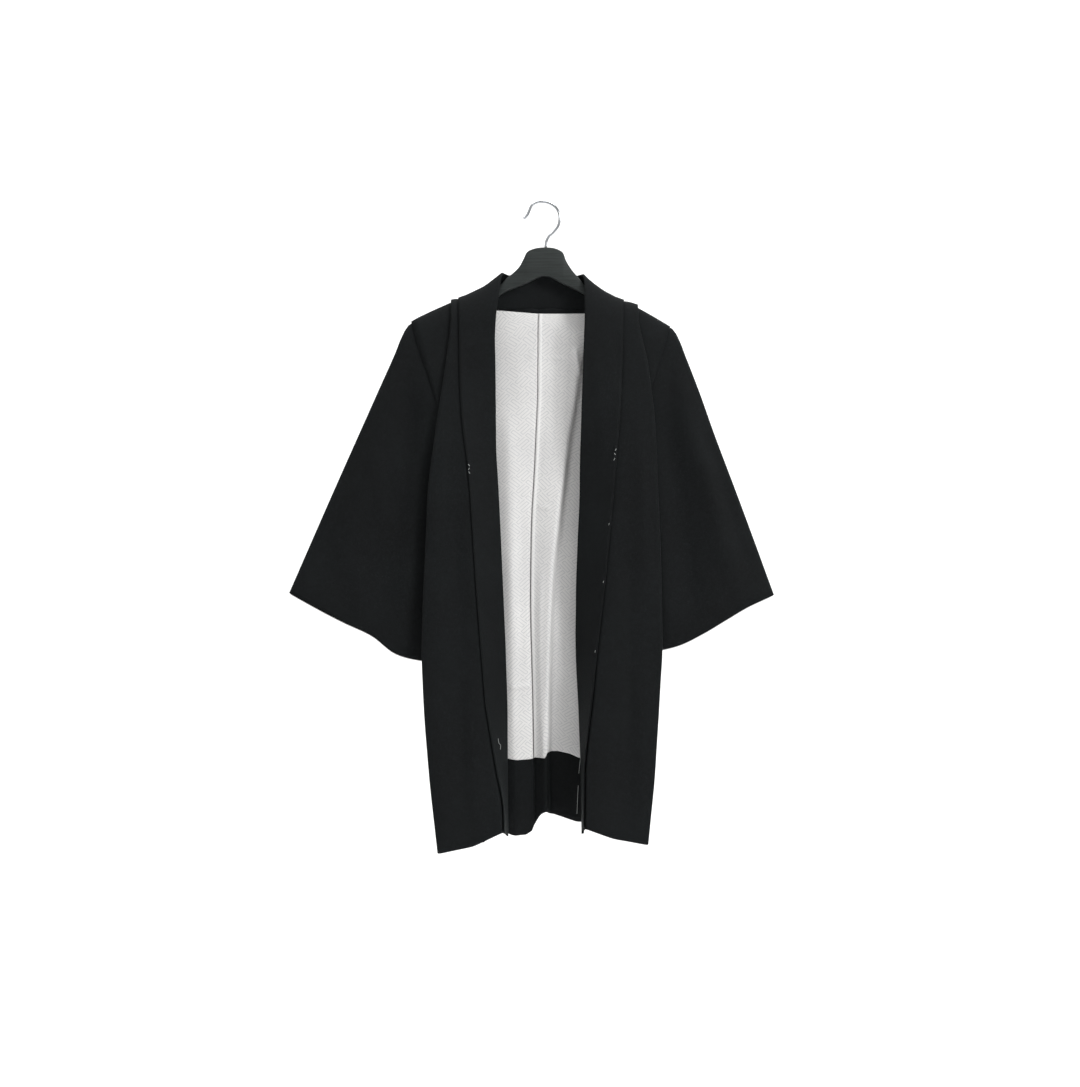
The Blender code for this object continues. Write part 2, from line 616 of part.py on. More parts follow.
def sleeve_depth(lines, share, across, x, z):
    """Half the sleeve's depth: just under the body's layer at the armhole, then a flat bag."""
    full = float(read(SLEEVE_DEPTH, share)[0])
    bag = full * max(0.0, 1 - abs(2 * across - 1) ** FLATNESS) ** 0.5 * (1 - NARROWER_BELOW * across)
    mix = min(1.0, max(0.0, (share - SEATED) / SPREAD))
    if mix == 1.0 or across in (0.0, 1.0):
        return bag
    slope = (armhole_layer(lines, x, z + 1) - armhole_layer(lines, x, z - 1)) / 2
    seated = max(0.0, armhole_layer(lines, x, z) - (CREPE + SEAM) * (1 + slope**2) ** 0.5)
    closing = max(0.0, (across - ARMHOLE_CLOSES) / (1 - ARMHOLE_CLOSES))
    return (1 - mix) * seated * (1 - closing**2) ** 0.5 + mix * bag


def sleeve_ring(side, share):
    """One closed line of points round the sleeve."""
    sign = -1.0 if side == "left" else 1.0
    lines = armhole_lines(side)
    ring = []
    for face, steps in ((-1, SLEEVE_ACROSS), (1, SLEEVE_ACROSS[-2:0:-1])):
        for across in steps:
            x, z = sleeve_point(side, share, across)
            depth = sleeve_depth(lines, share, across, x, z)
            ring.append((sign * x, face * depth, z))
    return ring


def build_sleeve(side):
    grid = [sleeve_ring(side, share) for share in SLEEVE_ALONG]
    return sheet("sleeve_" + side, grid, CREPE, colour("sleeve_" + side, "crepe"), ring=True)


def build_cuff_lining(side):
    """The end of the sleeve's own lining: a band inside the cuff that shows a little past it."""
    rings = [np.array(sleeve_ring(side, share)) for share in (CUFF_FROM, 1.0)]
    ahead = rings[1] - rings[0]
    ahead /= np.linalg.norm(ahead, axis=1, keepdims=True)
    grid = np.array([*rings, rings[1] + ahead * CUFF_RIM])
    inward = normals_of(grid, ring=True)
    if inward[0][len(SLEEVE_ACROSS) // 2][1] < 0:
        inward = -inward
    name = "cuff_lining_" + side
    return sheet(name, grid + inward * CLOSE, LINING, colour(name, "lining"), ring=True)


def build_chi(side):
    """The small loop that a tie is knotted through, flat on the collar's free edge."""
    runs = collar_runs()
    over, normal = over_layer(runs)
    over = over - under_side(normal) * ((CREPE + CHI_WALL) / 2 + SEAM)
    if side == "right":
        over = over[::-1]
    grid = []
    for run in CHI_RUNS[side]:
        free, inner = [
            np.array([np.interp(-run, runs, over[: len(runs), i, axis]) for axis in range(3)]) for i in (0, 1)
        ]
        grid.append([free + (inner - free) * reach / PANEL_LAP for reach in CHI_REACH])
    return sheet("chi_" + side, grid, CHI_WALL, colour("chi_" + side, "crepe"))


def build_gusset(side):
    grid = []
    for run in GUSSET_RUNS:
        front, rear = body_row(side, run, False)[-1], body_row(side, run, True)[-1]
        room = np.array((0.0, SEAM + CREPE / 2, 0.0))
        grid.append([front + room, (front + rear) / 2, rear - room])
    return sheet("gusset_" + side, grid, CREPE, colour("gusset_" + side, "crepe"))


def inside_of_back(side, first, last, distances):
    """Rows of the back moved off it to the inside, by a distance read from a table of runs."""
    rows = [run for run in RUNS_BACK if run >= LINING_FROM]
    points = np.array([body_row(side, run, True) for run in rows])
    normal = normals_of(points)
    normal[:, 0, 0] = 0
    normal /= np.linalg.norm(normal, axis=2, keepdims=True)
    normal *= -np.sign(normal[:, :, 1:2])
    far = np.array([float(read(distances, run)[0]) for run in rows])
    moved = points + normal * far[:, None, None]
    keep = [j for j, run in enumerate(rows) if first <= run <= last]
    return moved[keep][:, : BACK_COLUMNS[side]]


def build_lining(side):
    moved = inside_of_back(side, LINING_FROM, LINING_TO, LINING_OFF)
    narrower = LINING_HALF / max(abs(moved[0][:, 0]))
    for point in moved[0][1:]:
        point[0] *= min(1.0, narrower)
    for point in moved[0]:
        point[2] = LINING_TOP
        point[1] = under_layer(point[0], point[2], CLOSE + SEAM)
    name = "lining_" + side
    return sheet(name, moved, LINING, colour(name, "lining"), square=list(range(len(moved))))


def build_turn_up(side):
    moved = inside_of_back(side, TURN_UP_FROM, 1.0, ((0.0, CLOSE), (1.0, CLOSE)))
    name = "hem_turn_up_" + side
    return sheet(name, moved, LINING, colour(name, "crepe"), square=list(range(len(moved))))


def build_hanger():
    """The flat wooden hanger, in sections across its length, with bevelled edges."""
    top, under = sorted(HANGER_TOP), sorted(HANGER_UNDER)
    places = sorted({x for x, z in HANGER_TOP} | {x for x, z in HANGER_UNDER})
    flat = ARM_HALF - ARM_EDGE
    mesh = bmesh.new()
    rings = []
    for x in places:
        high, low = float(read(top, x)[0]), float(read(under, x)[0])
        section = (
            (-ARM_HALF, high - ARM_EDGE), (-flat, high), (flat, high), (ARM_HALF, high - ARM_EDGE),
            (ARM_HALF, low + ARM_EDGE), (flat, low), (-flat, low), (-ARM_HALF, low + ARM_EDGE),
        )
        rings.append([mesh.verts.new((x * MM, y * MM, z * MM)) for y, z in section])
    for j in range(len(rings) - 1):
        for i in range(len(rings[j])):
            k = (i + 1) % len(rings[j])
            mesh.faces.new((rings[j][i], rings[j][k], rings[j + 1][k], rings[j + 1][i]))
    mesh.faces.new(rings[0])
    mesh.faces.new(list(reversed(rings[-1])))
    return finish("hanger_body", mesh, colour("hanger_body", "wood"))


def tube(name, path, radius, sides, material):
    """A round wire along a line of points, with flat ends."""
    path = np.array(path, float)
    tangents = np.gradient(path, axis=0)
    mesh = bmesh.new()
    rings = []
    for point, tangent in zip(path, tangents):
        tangent = tangent / np.linalg.norm(tangent)
        side = np.array((0.0, 1.0, 0.0))
        side = side - tangent * side.dot(tangent)
        side /= np.linalg.norm(side)
        other = np.cross(tangent, side)
        ring = []
        for k in range(sides):
            angle = 2 * np.pi * k / sides
            place = point + radius * (np.cos(angle) * side + np.sin(angle) * other)
            ring.append(mesh.verts.new(tuple(place * MM)))
        rings.append(ring)
    for j in range(len(rings) - 1):
        for k in range(sides):
            m = (k + 1) % sides
            mesh.faces.new((rings[j][k], rings[j][m], rings[j + 1][m], rings[j + 1][k]))
    mesh.faces.new(rings[0])
    mesh.faces.new(list(reversed(rings[-1])))
    return finish(name, mesh, material)


def smoothed(points, between):
    """More points on a soft curve through the given ones."""
    points = np.array(points, float)
    padded = np.vstack([2 * points[0] - points[1], points, 2 * points[-1] - points[-2]])
    line = []
    for i in range(1, len(padded) - 2):
        a, b, c, d = padded[i - 1 : i + 3]
        for k in range(between):
            t = k / between
            bend = (2 * a - 5 * b + 4 * c - d) * t**2 + (3 * b - a - 3 * c + d) * t**3
            line.append((2 * b + (c - a) * t + bend) / 2)
    line.append(points[-1])
    return line


def build_hook():
    path = [(x, 0.0, z) for x, z in smoothed(HOOK, 2)]
    return tube("hanger_hook", path, WIRE, WIRE_SIDES, colour("hanger_hook", "wire"))


def build_all():
    build_hanger()
    build_hook()
    build_collar()
    for side in ("left", "right"):
        build_body(side)
        build_sleeve(side)
        build_cuff_lining(side)
        build_chi(side)
        build_gusset(side)
        build_lining(side)
        build_turn_up(side)


for old in list(bpy.data.objects):
    bpy.data.objects.remove(old, do_unlink=True)
build_all()
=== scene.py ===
"""Haori on a wooden coat hanger: black silk crepe with a pale grey patterned lining.

Sizes are in millimetres. +X is to the right seen from the front, the front faces -Y and +Z is up.
The origin is the inside top of the hanger's hook.
"""

import math

import bmesh
import bpy
import numpy as np
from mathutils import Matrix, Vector
from mathutils.bvhtree import BVHTree


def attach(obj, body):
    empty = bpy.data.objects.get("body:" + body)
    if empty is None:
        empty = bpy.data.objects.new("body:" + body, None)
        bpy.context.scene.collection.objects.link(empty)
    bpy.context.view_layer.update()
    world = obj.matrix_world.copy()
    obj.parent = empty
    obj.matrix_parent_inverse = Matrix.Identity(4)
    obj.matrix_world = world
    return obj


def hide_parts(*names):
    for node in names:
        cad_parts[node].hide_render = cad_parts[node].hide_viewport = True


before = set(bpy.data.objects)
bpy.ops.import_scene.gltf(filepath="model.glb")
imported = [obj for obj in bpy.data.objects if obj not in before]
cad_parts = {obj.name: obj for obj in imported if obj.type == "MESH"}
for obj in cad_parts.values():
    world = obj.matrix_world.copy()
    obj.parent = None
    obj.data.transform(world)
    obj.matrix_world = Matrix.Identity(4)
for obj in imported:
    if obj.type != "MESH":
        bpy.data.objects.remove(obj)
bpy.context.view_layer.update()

MM = 0.001

# Cloth
CREPE = 1.4  # wall of the body, sleeves, gussets and each layer of the collar
LINING = 1.0  # wall of the lining and of the turned-up hem
SEAM = 0.3  # room between two pieces at a seam
CUFF_RIM = 1.2  # how far the sleeve's lining shows past the cuff
CUFF_FROM = 0.96  # share of the way along the sleeve where the band of lining inside the cuff begins

# Collar
LAYER_ROOM = 1.5  # room between the collar's two layers
LAYERS = CREPE + LAYER_ROOM  # from its over layer to its under layer, middle to middle
CREASE = 2.0  # how round the collar's creased edge is
PANEL_LAP = 14.0  # the body's edge reaches this far under the collar's free edge
UNDER_FROM = PANEL_LAP + 2 * SEAM  # how far from the free edge the under layer begins, beside the body's edge

# Body
RIDGE_RUN = 0.03  # run over which the folds turn over the top of the shoulder
MIDDLE = 0.55  # share of the body's middle line that comes from the collar's free edge, the rest from the fold
FOLD_EASING = (0.0, 4.0, 6.0, 0.0)  # how much each line of the body is eased, from the inner edge to the fold
TIGHTNESS = 0.9  # radius of a fold's turn as a share of its layers' distance
BACK_FOLD_IN = 5.0  # the outer fold lies this much further in at the back
BACK_FOLD_RUN = 0.2  # run by which it has moved in
HEM_RUN = 0.1  # run over which the back's hem rises or falls

# Lining
CLOSE = CREPE / 2 + SEAM + LINING / 2  # from the middle of the back's wall to the middle of a layer on it
FAR = CLOSE + LINING + SEAM  # the same, over the turned-up hem
NECK_EASE = 1.2  # extra room for the lining where the back is pleated below the collar
LINING_HALF = 84.0  # how far out the lining's top edge reaches on each side
LINING_TOP = -173.4  # height of the lining's top edge, just under the collar's inner layer
LINING_FROM, LINING_TO = 0.045, 0.872  # runs where the lining begins and ends
TURN_UP_FROM = 0.835  # run where the turned-up hem begins
LINING_OFF = (
    # run, from the back's wall to the lining's, middle to middle
    (0.060, CLOSE + NECK_EASE),
    (0.110, CLOSE),
    (0.776, CLOSE),
    (TURN_UP_FROM, FAR),
    (1.000, FAR),
)
BACK_COLUMNS = {"left": 5, "right": 6}  # lines of the back from its centre seam that lining and hem cover

# Hanger
ARM_HALF = 5.0  # half the thickness of the wooden arms
ARM_EDGE = 2.6  # bevel along the wood's edges
WIRE = 2.3  # radius of the hook's wire

# How deep the folded layers lie, going down from the shoulder to the hem
# run: share of the way down; layer: outer layer from the hanger's plane; gap: one layer to the next
DEPTH = (
    # run, layer, gap, end
    (0.000, 0.0, 2.5, 0.0),
    (0.003, 6.5, 2.5, 4.4),
    (0.009, 10.6, 2.5, 7.2),
    (0.018, 13.4, 2.6, 9.0),
    (0.030, 15.8, 2.7, 10.6),
    (0.060, 18.6, 3.2, 12.2),
    (0.110, 22.4, 3.6, 15.2),
    (0.200, 27.0, 3.9, 19.2),
    (0.285, 30.0, 4.0, 21.0),
    (0.320, 30.8, 4.0, 17.0),
    (0.356, 31.5, 4.0, 12.0),
    (0.450, 33.0, 4.0, 13.0),
    (0.600, 35.0, 4.0, 17.0),
    (0.800, 37.0, 4.0, 22.0),
    (1.000, 40.0, 4.0, 27.0),
)

# Where the body's folds run, measured out from the hanger's middle
# fold: outer fold edge; valley: bottom of the fold behind it; end: armhole edge, then side seam
FOLDS = {
    "left": (
        # run, fold, valley, end
        (0.000, 150.0, 143.0, 214.0),
        (0.030, 149.6, 141.0, 207.5),
        (0.060, 151.4, 141.5, 200.0),
        (0.110, 157.0, 143.0, 185.0),
        (0.200, 168.6, 143.0, 162.0),
        (0.243, 174.0, 139.0, 153.0),
        (0.285, 179.0, 135.0, 145.0),
        (0.320, 183.0, 132.0, 136.0),
        (0.356, 186.0, 129.0, 128.0),
        (0.450, 189.0, 123.0, 121.0),
        (0.541, 193.0, 118.0, 116.0),
        (0.657, 195.0, 111.0, 109.0),
        (0.776, 189.4, 104.0, 102.0),
        (0.883, 181.0, 99.0, 97.0),
        (1.000, 169.4, 96.0, 94.0),
    ),
    "right": (
        # run, fold, valley, end
        (0.000, 148.0, 141.0, 200.0),
        (0.030, 148.4, 139.0, 192.5),
        (0.060, 154.0, 138.0, 184.5),
        (0.110, 163.4, 136.0, 172.0),
        (0.200, 172.8, 129.0, 152.0),
        (0.243, 175.0, 126.0, 142.0),
        (0.285, 176.6, 123.0, 133.0),
        (0.320, 177.8, 120.0, 125.0),
        (0.356, 179.0, 117.0, 117.0),
        (0.450, 182.4, 110.0, 108.0),
        (0.541, 184.2, 103.0, 101.0),
        (0.640, 185.4, 97.0, 95.0),
        (0.770, 179.0, 94.0, 92.0),
        (0.883, 172.6, 93.0, 91.0),
        (1.000, 162.6, 92.0, 90.0),
    ),
}

# Height of each fold line at the shoulder and at the hem, front and back
# middle: halfway between the collar's free edge and the fold
HEIGHTS = {
    "left": {
        # line: top, front hem, back hem
        "middle": (-156.2, -1022.0, -1016.0),
        "fold": (-157.8, -1033.0, -1020.0),
        "valley": (-156.2, -1016.0, -1008.0),
        "end": (-189.6, -1008.0, -1004.0),
    },
    "right": {
        "middle": (-162.0, -1010.0, -1000.0),
        "fold": (-165.8, -1019.0, -1008.0),
        "valley": (-164.4, -1004.0, -1000.0),
        "end": (-200.4, -998.0, -994.0),
    },
}

# Collar, one row per section from the front hem (-1) over the shoulder (0) to the back of the neck
# free: the turned-out edge; crease: the edge beside the opening
COLLAR = {
    "left": (
        # run, free out, free y, free z, crease out, crease y, crease z
        (-1.000, 64.5, -42.0, -1000.0, 59.0, 17.0, -1012.0),
        (-0.950, 66.0, -41.4, -957.0, 59.3, 17.0, -966.0),
        (-0.870, 79.0, -40.2, -890.0, 59.5, 14.0, -894.0),
        (-0.758, 94.0, -38.8, -797.0, 60.0, 9.0, -799.0),
        (-0.646, 102.0, -37.6, -703.0, 63.0, 6.5, -704.0),
        (-0.536, 109.0, -36.3, -610.0, 67.0, 4.0, -610.0),
        (-0.427, 115.0, -34.8, -519.0, 71.0, 3.0, -519.0),
        (-0.356, 119.0, -33.6, -459.0, 74.0, 2.0, -459.0),
        (-0.285, 125.0, -32.1, -399.0, 77.5, -2.0, -399.0),
        (-0.243, 130.0, -30.6, -364.0, 78.0, -6.0, -364.0),
        (-0.187, 134.0, -28.4, -317.0, 78.5, -11.0, -317.0),
        (-0.131, 136.0, -25.2, -270.0, 79.0, -16.0, -270.0),
        (-0.048, 137.0, -19.4, -200.0, 80.0, -20.5, -200.0),
        (-0.030, 137.4, -17.7, -183.5, 78.0, -21.0, -180.0),
        (-0.018, 138.0, -15.3, -172.0, 75.5, -20.0, -159.0),
        (-0.009, 138.4, -12.2, -162.8, 72.5, -17.5, -141.5),
        (-0.003, 138.5, -7.4, -156.4, 71.2, -14.5, -129.5),
        (0.000, 138.5, 0.0, -153.6, 70.2, -11.0, -121.5),
        (0.003, 138.3, 7.4, -156.2, 69.2, -7.5, -117.6),
        (0.009, 137.0, 12.2, -161.4, 68.4, -2.5, -115.4),
        (0.018, 131.0, 15.8, -168.6, 67.0, 4.5, -114.4),
        (0.030, 113.0, 20.0, -175.0, 62.0, 12.0, -113.2),
        (0.034, 84.0, 22.7, -178.2, 50.0, 15.5, -111.8),
        (0.037, 42.0, 26.6, -180.0, 26.0, 20.8, -110.4),
    ),
    "right": (
        # run, free out, free y, free z, crease out, crease y, crease z
        (-1.000, 60.8, -42.0, -994.0, 59.0, 17.5, -1007.0),
        (-0.870, 62.5, -40.2, -885.0, 57.0, 17.5, -890.0),
        (-0.760, 74.0, -38.8, -794.0, 53.0, 15.0, -797.0),
        (-0.667, 82.0, -37.8, -717.0, 48.5, 10.0, -718.0),
        (-0.532, 95.0, -36.2, -605.0, 49.5, 3.0, -605.0),
        (-0.421, 104.0, -34.7, -513.0, 53.0, -4.0, -513.0),
        (-0.374, 108.0, -33.9, -474.0, 55.0, -8.0, -474.0),
        (-0.297, 113.0, -32.4, -410.0, 55.5, -13.0, -410.0),
        (-0.229, 118.0, -30.2, -353.0, 57.5, -19.0, -353.0),
        (-0.172, 121.0, -27.6, -306.0, 59.0, -22.0, -306.0),
        (-0.072, 124.0, -21.3, -223.0, 62.0, -22.0, -223.0),
        (-0.030, 124.6, -17.7, -186.5, 63.5, -21.0, -180.0),
        (-0.018, 125.2, -15.3, -175.5, 63.6, -20.0, -160.0),
        (-0.009, 125.8, -12.2, -166.8, 63.5, -17.5, -143.0),
        (-0.003, 126.0, -7.4, -160.6, 63.2, -14.5, -131.5),
        (0.000, 126.0, 0.0, -157.8, 62.8, -11.0, -124.0),
        (0.003, 125.8, 7.4, -160.4, 62.0, -7.5, -120.0),
        (0.009, 124.4, 12.2, -165.2, 61.2, -2.5, -117.4),
        (0.018, 119.0, 15.8, -171.0, 60.0, 4.5, -115.6),
        (0.030, 103.0, 20.0, -175.8, 56.0, 12.0, -113.8),
        (0.034, 78.0, 22.6, -178.4, 45.0, 15.8, -112.0),
        (0.037, 39.0, 26.6, -180.1, 24.0, 20.8, -110.4),
    ),
}
COLLAR_MIDDLE = ((0.0, 27.6, -180.4), (0.0, 21.8, -110.0))  # free edge and crease at the back

# Inner part of the back: where its centre seam runs, then two fold lines on each side of it
BACK_SEAM = (
    # run, x, y
    (0.045, -9.6, 24.2),
    (0.060, -10.0, 25.0),
    (0.110, -10.4, 26.6),
    (0.200, -11.0, 28.8),
    (0.330, -16.0, 31.4),
    (0.450, -22.0, 33.2),
    (0.600, -22.6, 34.6),
    (0.800, -18.4, 37.0),
    (1.000, -16.6, 40.0),
)
BACK = {
    "left": (
        # run, first out, first y, second out, second y
        (0.045, 46.0, 23.4, 95.0, 21.6),
        (0.060, 48.0, 24.0, 94.0, 22.6),
        (0.110, 48.0, 25.6, 93.0, 25.8),
        (0.200, 46.0, 26.8, 92.0, 29.0),
        (0.330, 48.0, 27.4, 90.0, 32.0),
        (0.450, 52.0, 28.0, 89.0, 34.0),
        (0.600, 54.0, 28.6, 88.0, 36.0),
        (0.800, 50.0, 29.6, 86.0, 38.0),
        (1.000, 48.0, 30.6, 84.0, 40.0),
    ),
    "right": (
        # run, first out, first y, second out, second y
        (0.045, 44.0, 23.4, 84.0, 22.4),
        (0.060, 52.0, 24.2, 80.0, 23.6),
        (0.110, 58.0, 23.6, 67.0, 27.8),
        (0.193, 49.0, 21.8, 56.0, 31.6),
        (0.282, 36.0, 20.4, 43.0, 34.8),
        (0.376, 26.0, 19.6, 32.4, 36.6),
        (0.461, 16.5, 19.2, 22.6, 37.8),
        (0.565, 9.6, 19.2, 15.4, 38.8),
        (0.700, 5.4, 20.0, 11.2, 39.8),
        (0.872, 1.8, 22.4, 7.8, 41.4),
        (1.000, 3.0, 25.2, 9.4, 42.8),
    ),
}
BACK_LEVEL = (-132.0, 868.0)  # height of the back's centre at run 0, and its fall to run 1
BACK_TOP = -166.6  # height of the centre seam's top end, under the collar
BACK_DIP = (
    # run, how much lower the first and second line are than the centre
    (0.045, 14.0, 30.0),
    (0.060, 8.0, 21.0),
    (0.110, 3.0, 10.0),
    (0.200, 0.0, 3.0),
    (0.900, 0.0, 0.0),
)
BACK_HEM_RISE = {"left": (0.0, -10.0, -8.0), "right": (0.0, 24.0, 18.0)}  # of the seam and the two lines

# Sleeve outlines, seen from the front, measured out from the hanger's middle
SLEEVES = {
    "left": {
        "armhole": ((206.0, -188.8), (190.0, -238.0), (175.0, -281.0), (158.0, -337.0), (140.0, -430.0)),
        "top": (
            (206.0, -188.8), (218.0, -195.4), (225.0, -204.0), (229.0, -214.0), (240.0, -241.0),
            (282.5, -336.0), (344.0, -474.0), (409.0, -623.0),
        ),
        "cuff": (
            (409.0, -623.0), (354.0, -653.0), (311.0, -675.0), (270.0, -694.0), (229.0, -727.0),
            (198.0, -731.0), (129.0, -735.0),
        ),
        "under": ((140.0, -430.0), (135.0, -500.0), (131.0, -600.0), (128.0, -700.0), (129.0, -735.0)),
    },
    "right": {
        "armhole": ((191.0, -198.1), (173.0, -246.0), (156.0, -299.0), (142.0, -360.0), (129.0, -425.0)),
        "top": (
            (191.0, -198.1), (204.0, -204.2), (211.5, -213.5), (217.0, -225.0), (248.5, -306.0),
            (279.5, -394.0), (310.5, -474.0), (366.0, -626.0),
        ),
        "cuff": (
            (366.0, -626.0), (315.0, -649.0), (264.0, -682.0), (232.0, -698.0), (200.0, -713.0),
            (188.0, -714.5), (118.0, -719.0),
        ),
        "under": ((129.0, -425.0), (123.0, -500.0), (119.0, -600.0), (117.0, -690.0), (118.0, -719.0)),
    },
}
ARMHOLE_TO = 0.43  # run down to which the body's armhole layer is read
SEATED = 0.03  # share of the sleeve that lies under the body's edge
SPREAD = 0.2  # share over which it then narrows to a flat bag
ARMHOLE_CLOSES = 0.8  # share of the armhole's length after which the sleeve's two faces close to the underarm
SLEEVE_DEPTH = ((0.0, 10.0), (0.15, 9.0), (0.5, 10.0), (0.85, 12.0), (1.0, 13.0))  # share along it, half depth
FLATNESS = 5  # how flat the bag's faces are: the power of its rounding
NARROWER_BELOW = 0.45  # how much thinner the bag is at the underarm than at the top, as a share
# Where the sleeve's lines of points lie, as shares of the way across it and along it
SLEEVE_ACROSS = (0.0, 0.012, 0.05, 0.16, 0.32, 0.48, 0.64, 0.8, 0.93, 0.985, 1.0)
SLEEVE_ALONG = (0.0, 0.03, 0.07, 0.13, 0.25, 0.42, 0.6, 0.78, 0.92, 1.0)

# Hanger, seen from the front: its top edge and its underside, from the left end to the right end
HANGER_TOP = (
    (-195.0, -188.6), (-169.0, -176.4), (-150.0, -167.4), (-140.0, -164.6), (-127.0, -158.8), (-106.0, -149.8),
    (-91.0, -143.8), (-80.0, -138.6), (-73.0, -132.4), (-66.0, -125.0), (-60.0, -118.6), (-53.0, -113.0),
    (-41.0, -101.0), (-34.0, -88.0), (-28.5, -77.5), (-18.0, -72.5), (0.0, -70.2), (18.0, -72.5),
    (28.0, -78.0), (33.5, -91.0),
    (42.0, -105.0), (51.0, -116.0), (57.0, -123.0), (64.0, -133.0), (74.0, -140.5), (86.0, -147.4),
    (104.0, -156.6), (124.0, -165.8), (138.0, -171.8), (148.0, -175.4), (170.0, -188.4), (182.0, -195.8),
)
HANGER_UNDER = (
    (182.0, -212.0), (150.0, -199.0), (110.0, -180.0), (78.0, -158.0), (62.0, -145.5), (30.0, -129.5),
    (0.0, -116.5), (-30.0, -128.5), (-70.0, -145.5), (-86.0, -160.0), (-115.0, -178.0), (-160.0, -199.0),
    (-195.0, -210.0),
)
# Hook of round wire, seen from the front, from its tip over the top and down to the wood
HOOK = (
    (-34.0, -24.0), (-29.0, -19.5), (-25.6, -12.5), (-21.0, -3.0), (-12.0, 2.3), (-1.0, 2.6), (9.5, -0.5),
    (17.5, -6.5), (22.6, -15.5), (23.4, -26.0), (20.4, -37.0), (13.5, -46.0), (6.4, -52.5), (2.4, -60.0),
    (1.0, -69.7),
)

# Runs at which the body has a line of points, from the front hem up to the shoulder and down to the back hem
RUNS_FRONT = (
    1.0, 0.95, 0.883, 0.82, 0.757, 0.7, 0.645, 0.59, 0.536, 0.48, 0.427, 0.39, 0.356, 0.32, 0.285, 0.243,
    0.2, 0.16, 0.11, 0.06, 0.03, 0.018, 0.009, 0.003,
)
RUNS_BACK = (
    0.003, 0.009, 0.018, 0.03, 0.034, 0.037, 0.045, 0.06, 0.11, 0.16, 0.2, 0.243, 0.285, 0.32, 0.356, 0.42,
    0.5, 0.6, 0.7, 0.776, 0.835, 0.872, 0.93, 1.0,
)
GUSSET_RUNS = (0.356, 0.42, 0.5, 0.6, 0.7, 0.82, 0.93, 1.0)
CHI_RUNS = {"left": (0.301, 0.309, 0.317), "right": (0.272, 0.281, 0.29)}  # where the tie loops are sewn on
CHI_WALL = 1.2  # wall of a tie loop
CHI_REACH = (1.0, 4.4)  # how far in from the collar's free edge it begins and ends


def read(table, at):
    """Every column of a table of numbers, read between its rows at this value of the first column."""
    rows = np.array(table, float)
    return np.array([np.interp(at, rows[:, 0], rows[:, i]) for i in range(1, rows.shape[1])])


def along(points, share):
    """The point at this share of the length of a line of points."""
    points = np.array(points, float)
    lengths = np.concatenate([[0.0], np.cumsum(np.linalg.norm(np.diff(points, axis=0), axis=1))])
    at = share * lengths[-1]
    return np.array([np.interp(at, lengths, points[:, i]) for i in range(points.shape[1])])


def eased(keys, easing, spans, steps):
    """A line through the keys, so many points to each span, with each inner corner eased into a curve."""
    most = 0.46  # share of a span that a corner's curve may take
    keys = [np.array(key, float) for key in keys]
    line = [keys[0]]
    for i in range(1, len(keys)):
        before, here = keys[i - 1], keys[i]
        start = line[-1]
        if i == len(keys) - 1:
            stop, arc = here, []
        else:
            after = keys[i + 1]
            back, on = before - here, after - here
            near = here + back * min(easing[i] / np.linalg.norm(back), most)
            far = here + on * min(easing[i] / np.linalg.norm(on), most)
            stop = near
            arc = []
            for k in range(1, steps + 1):
                t = k / steps
                arc.append((1 - t) ** 2 * near + 2 * t * (1 - t) * here + t * t * far)
        for k in range(1, spans[i - 1] + 1):
            line.append(start + (stop - start) * k / spans[i - 1])
        line += arc
    return line


def collar_section(side, run):
    """Free edge and crease of the collar at this run, with the side's own sign on X."""
    sign = -1.0 if side == "left" else 1.0
    fo, fy, fz, co, cy, cz = read(COLLAR[side], run)
    return np.array((sign * fo, fy, fz)), np.array((sign * co, cy, cz))


def collar_runs():
    """The collar's sections lie on the rows of the body, so that the two stay the same distance apart."""
    return [-run for run in RUNS_FRONT] + [0.0] + [run for run in RUNS_BACK if run < LINING_FROM]


def over_layer(side_runs):
    """The collar's turned-out layer as a grid, from the left hem to the right, and its normals."""
    sections = [collar_section("left", run) for run in side_runs]
    sections.append((np.array(COLLAR_MIDDLE[0]), np.array(COLLAR_MIDDLE[1])))
    sections += [collar_section("right", run) for run in reversed(side_runs)]
    grid = []
    for free, crease in sections:
        length = np.linalg.norm(crease - free)
        towards = (crease - free) / length
        stops = (0.0, PANEL_LAP, UNDER_FROM, (PANEL_LAP + length) / 2, length - CREASE)
        grid.append([free + towards * stop for stop in stops])
    grid = np.array(grid)
    return grid, normals_of(grid)


def collar_edge(side, run):
    """Where the body's edge lies under the collar: its own edge, and a point under the collar's free edge."""
    runs = collar_runs()
    grid, normal = over_layer(runs)
    points = grid + under_side(normal) * LAYERS
    if side == "right":
        points = points[::-1]
    points = points[: len(runs)]
    return [np.array([np.interp(run, runs, points[:, i, axis]) for axis in range(3)]) for i in (1, 0)]


def under_side(normal):
    """The normals turned to point from the over layer to the under layer."""
    middle = len(normal) // 2
    return normal if normal[middle][2][1] < 0 else -normal


def under_layer(x, z, below=0.0):
    """How far back the collar's under layer is at this place behind the neck, less a distance."""
    def over(x, z):
        side = "left" if x < 0 else "right"
        found = [(np.array(COLLAR_MIDDLE[0]), np.array(COLLAR_MIDDLE[1]))]
        found += [collar_section(side, run) for run in (0.037, 0.034, 0.03, 0.018)]
        places = []
        for free, crease in found:
            place = free + (z - free[2]) / (crease[2] - free[2]) * (crease - free)
            places.append((abs(place[0]), place[1]))
        return float(np.interp(abs(x), [place[0] for place in places], [place[1] for place in places]))

    slope = np.array((over(x + 3, z) - over(x - 3, z), over(x, z + 3) - over(x, z - 3))) / 6
    return over(x, z) - (LAYERS + below) * np.sqrt(1 + slope @ slope)


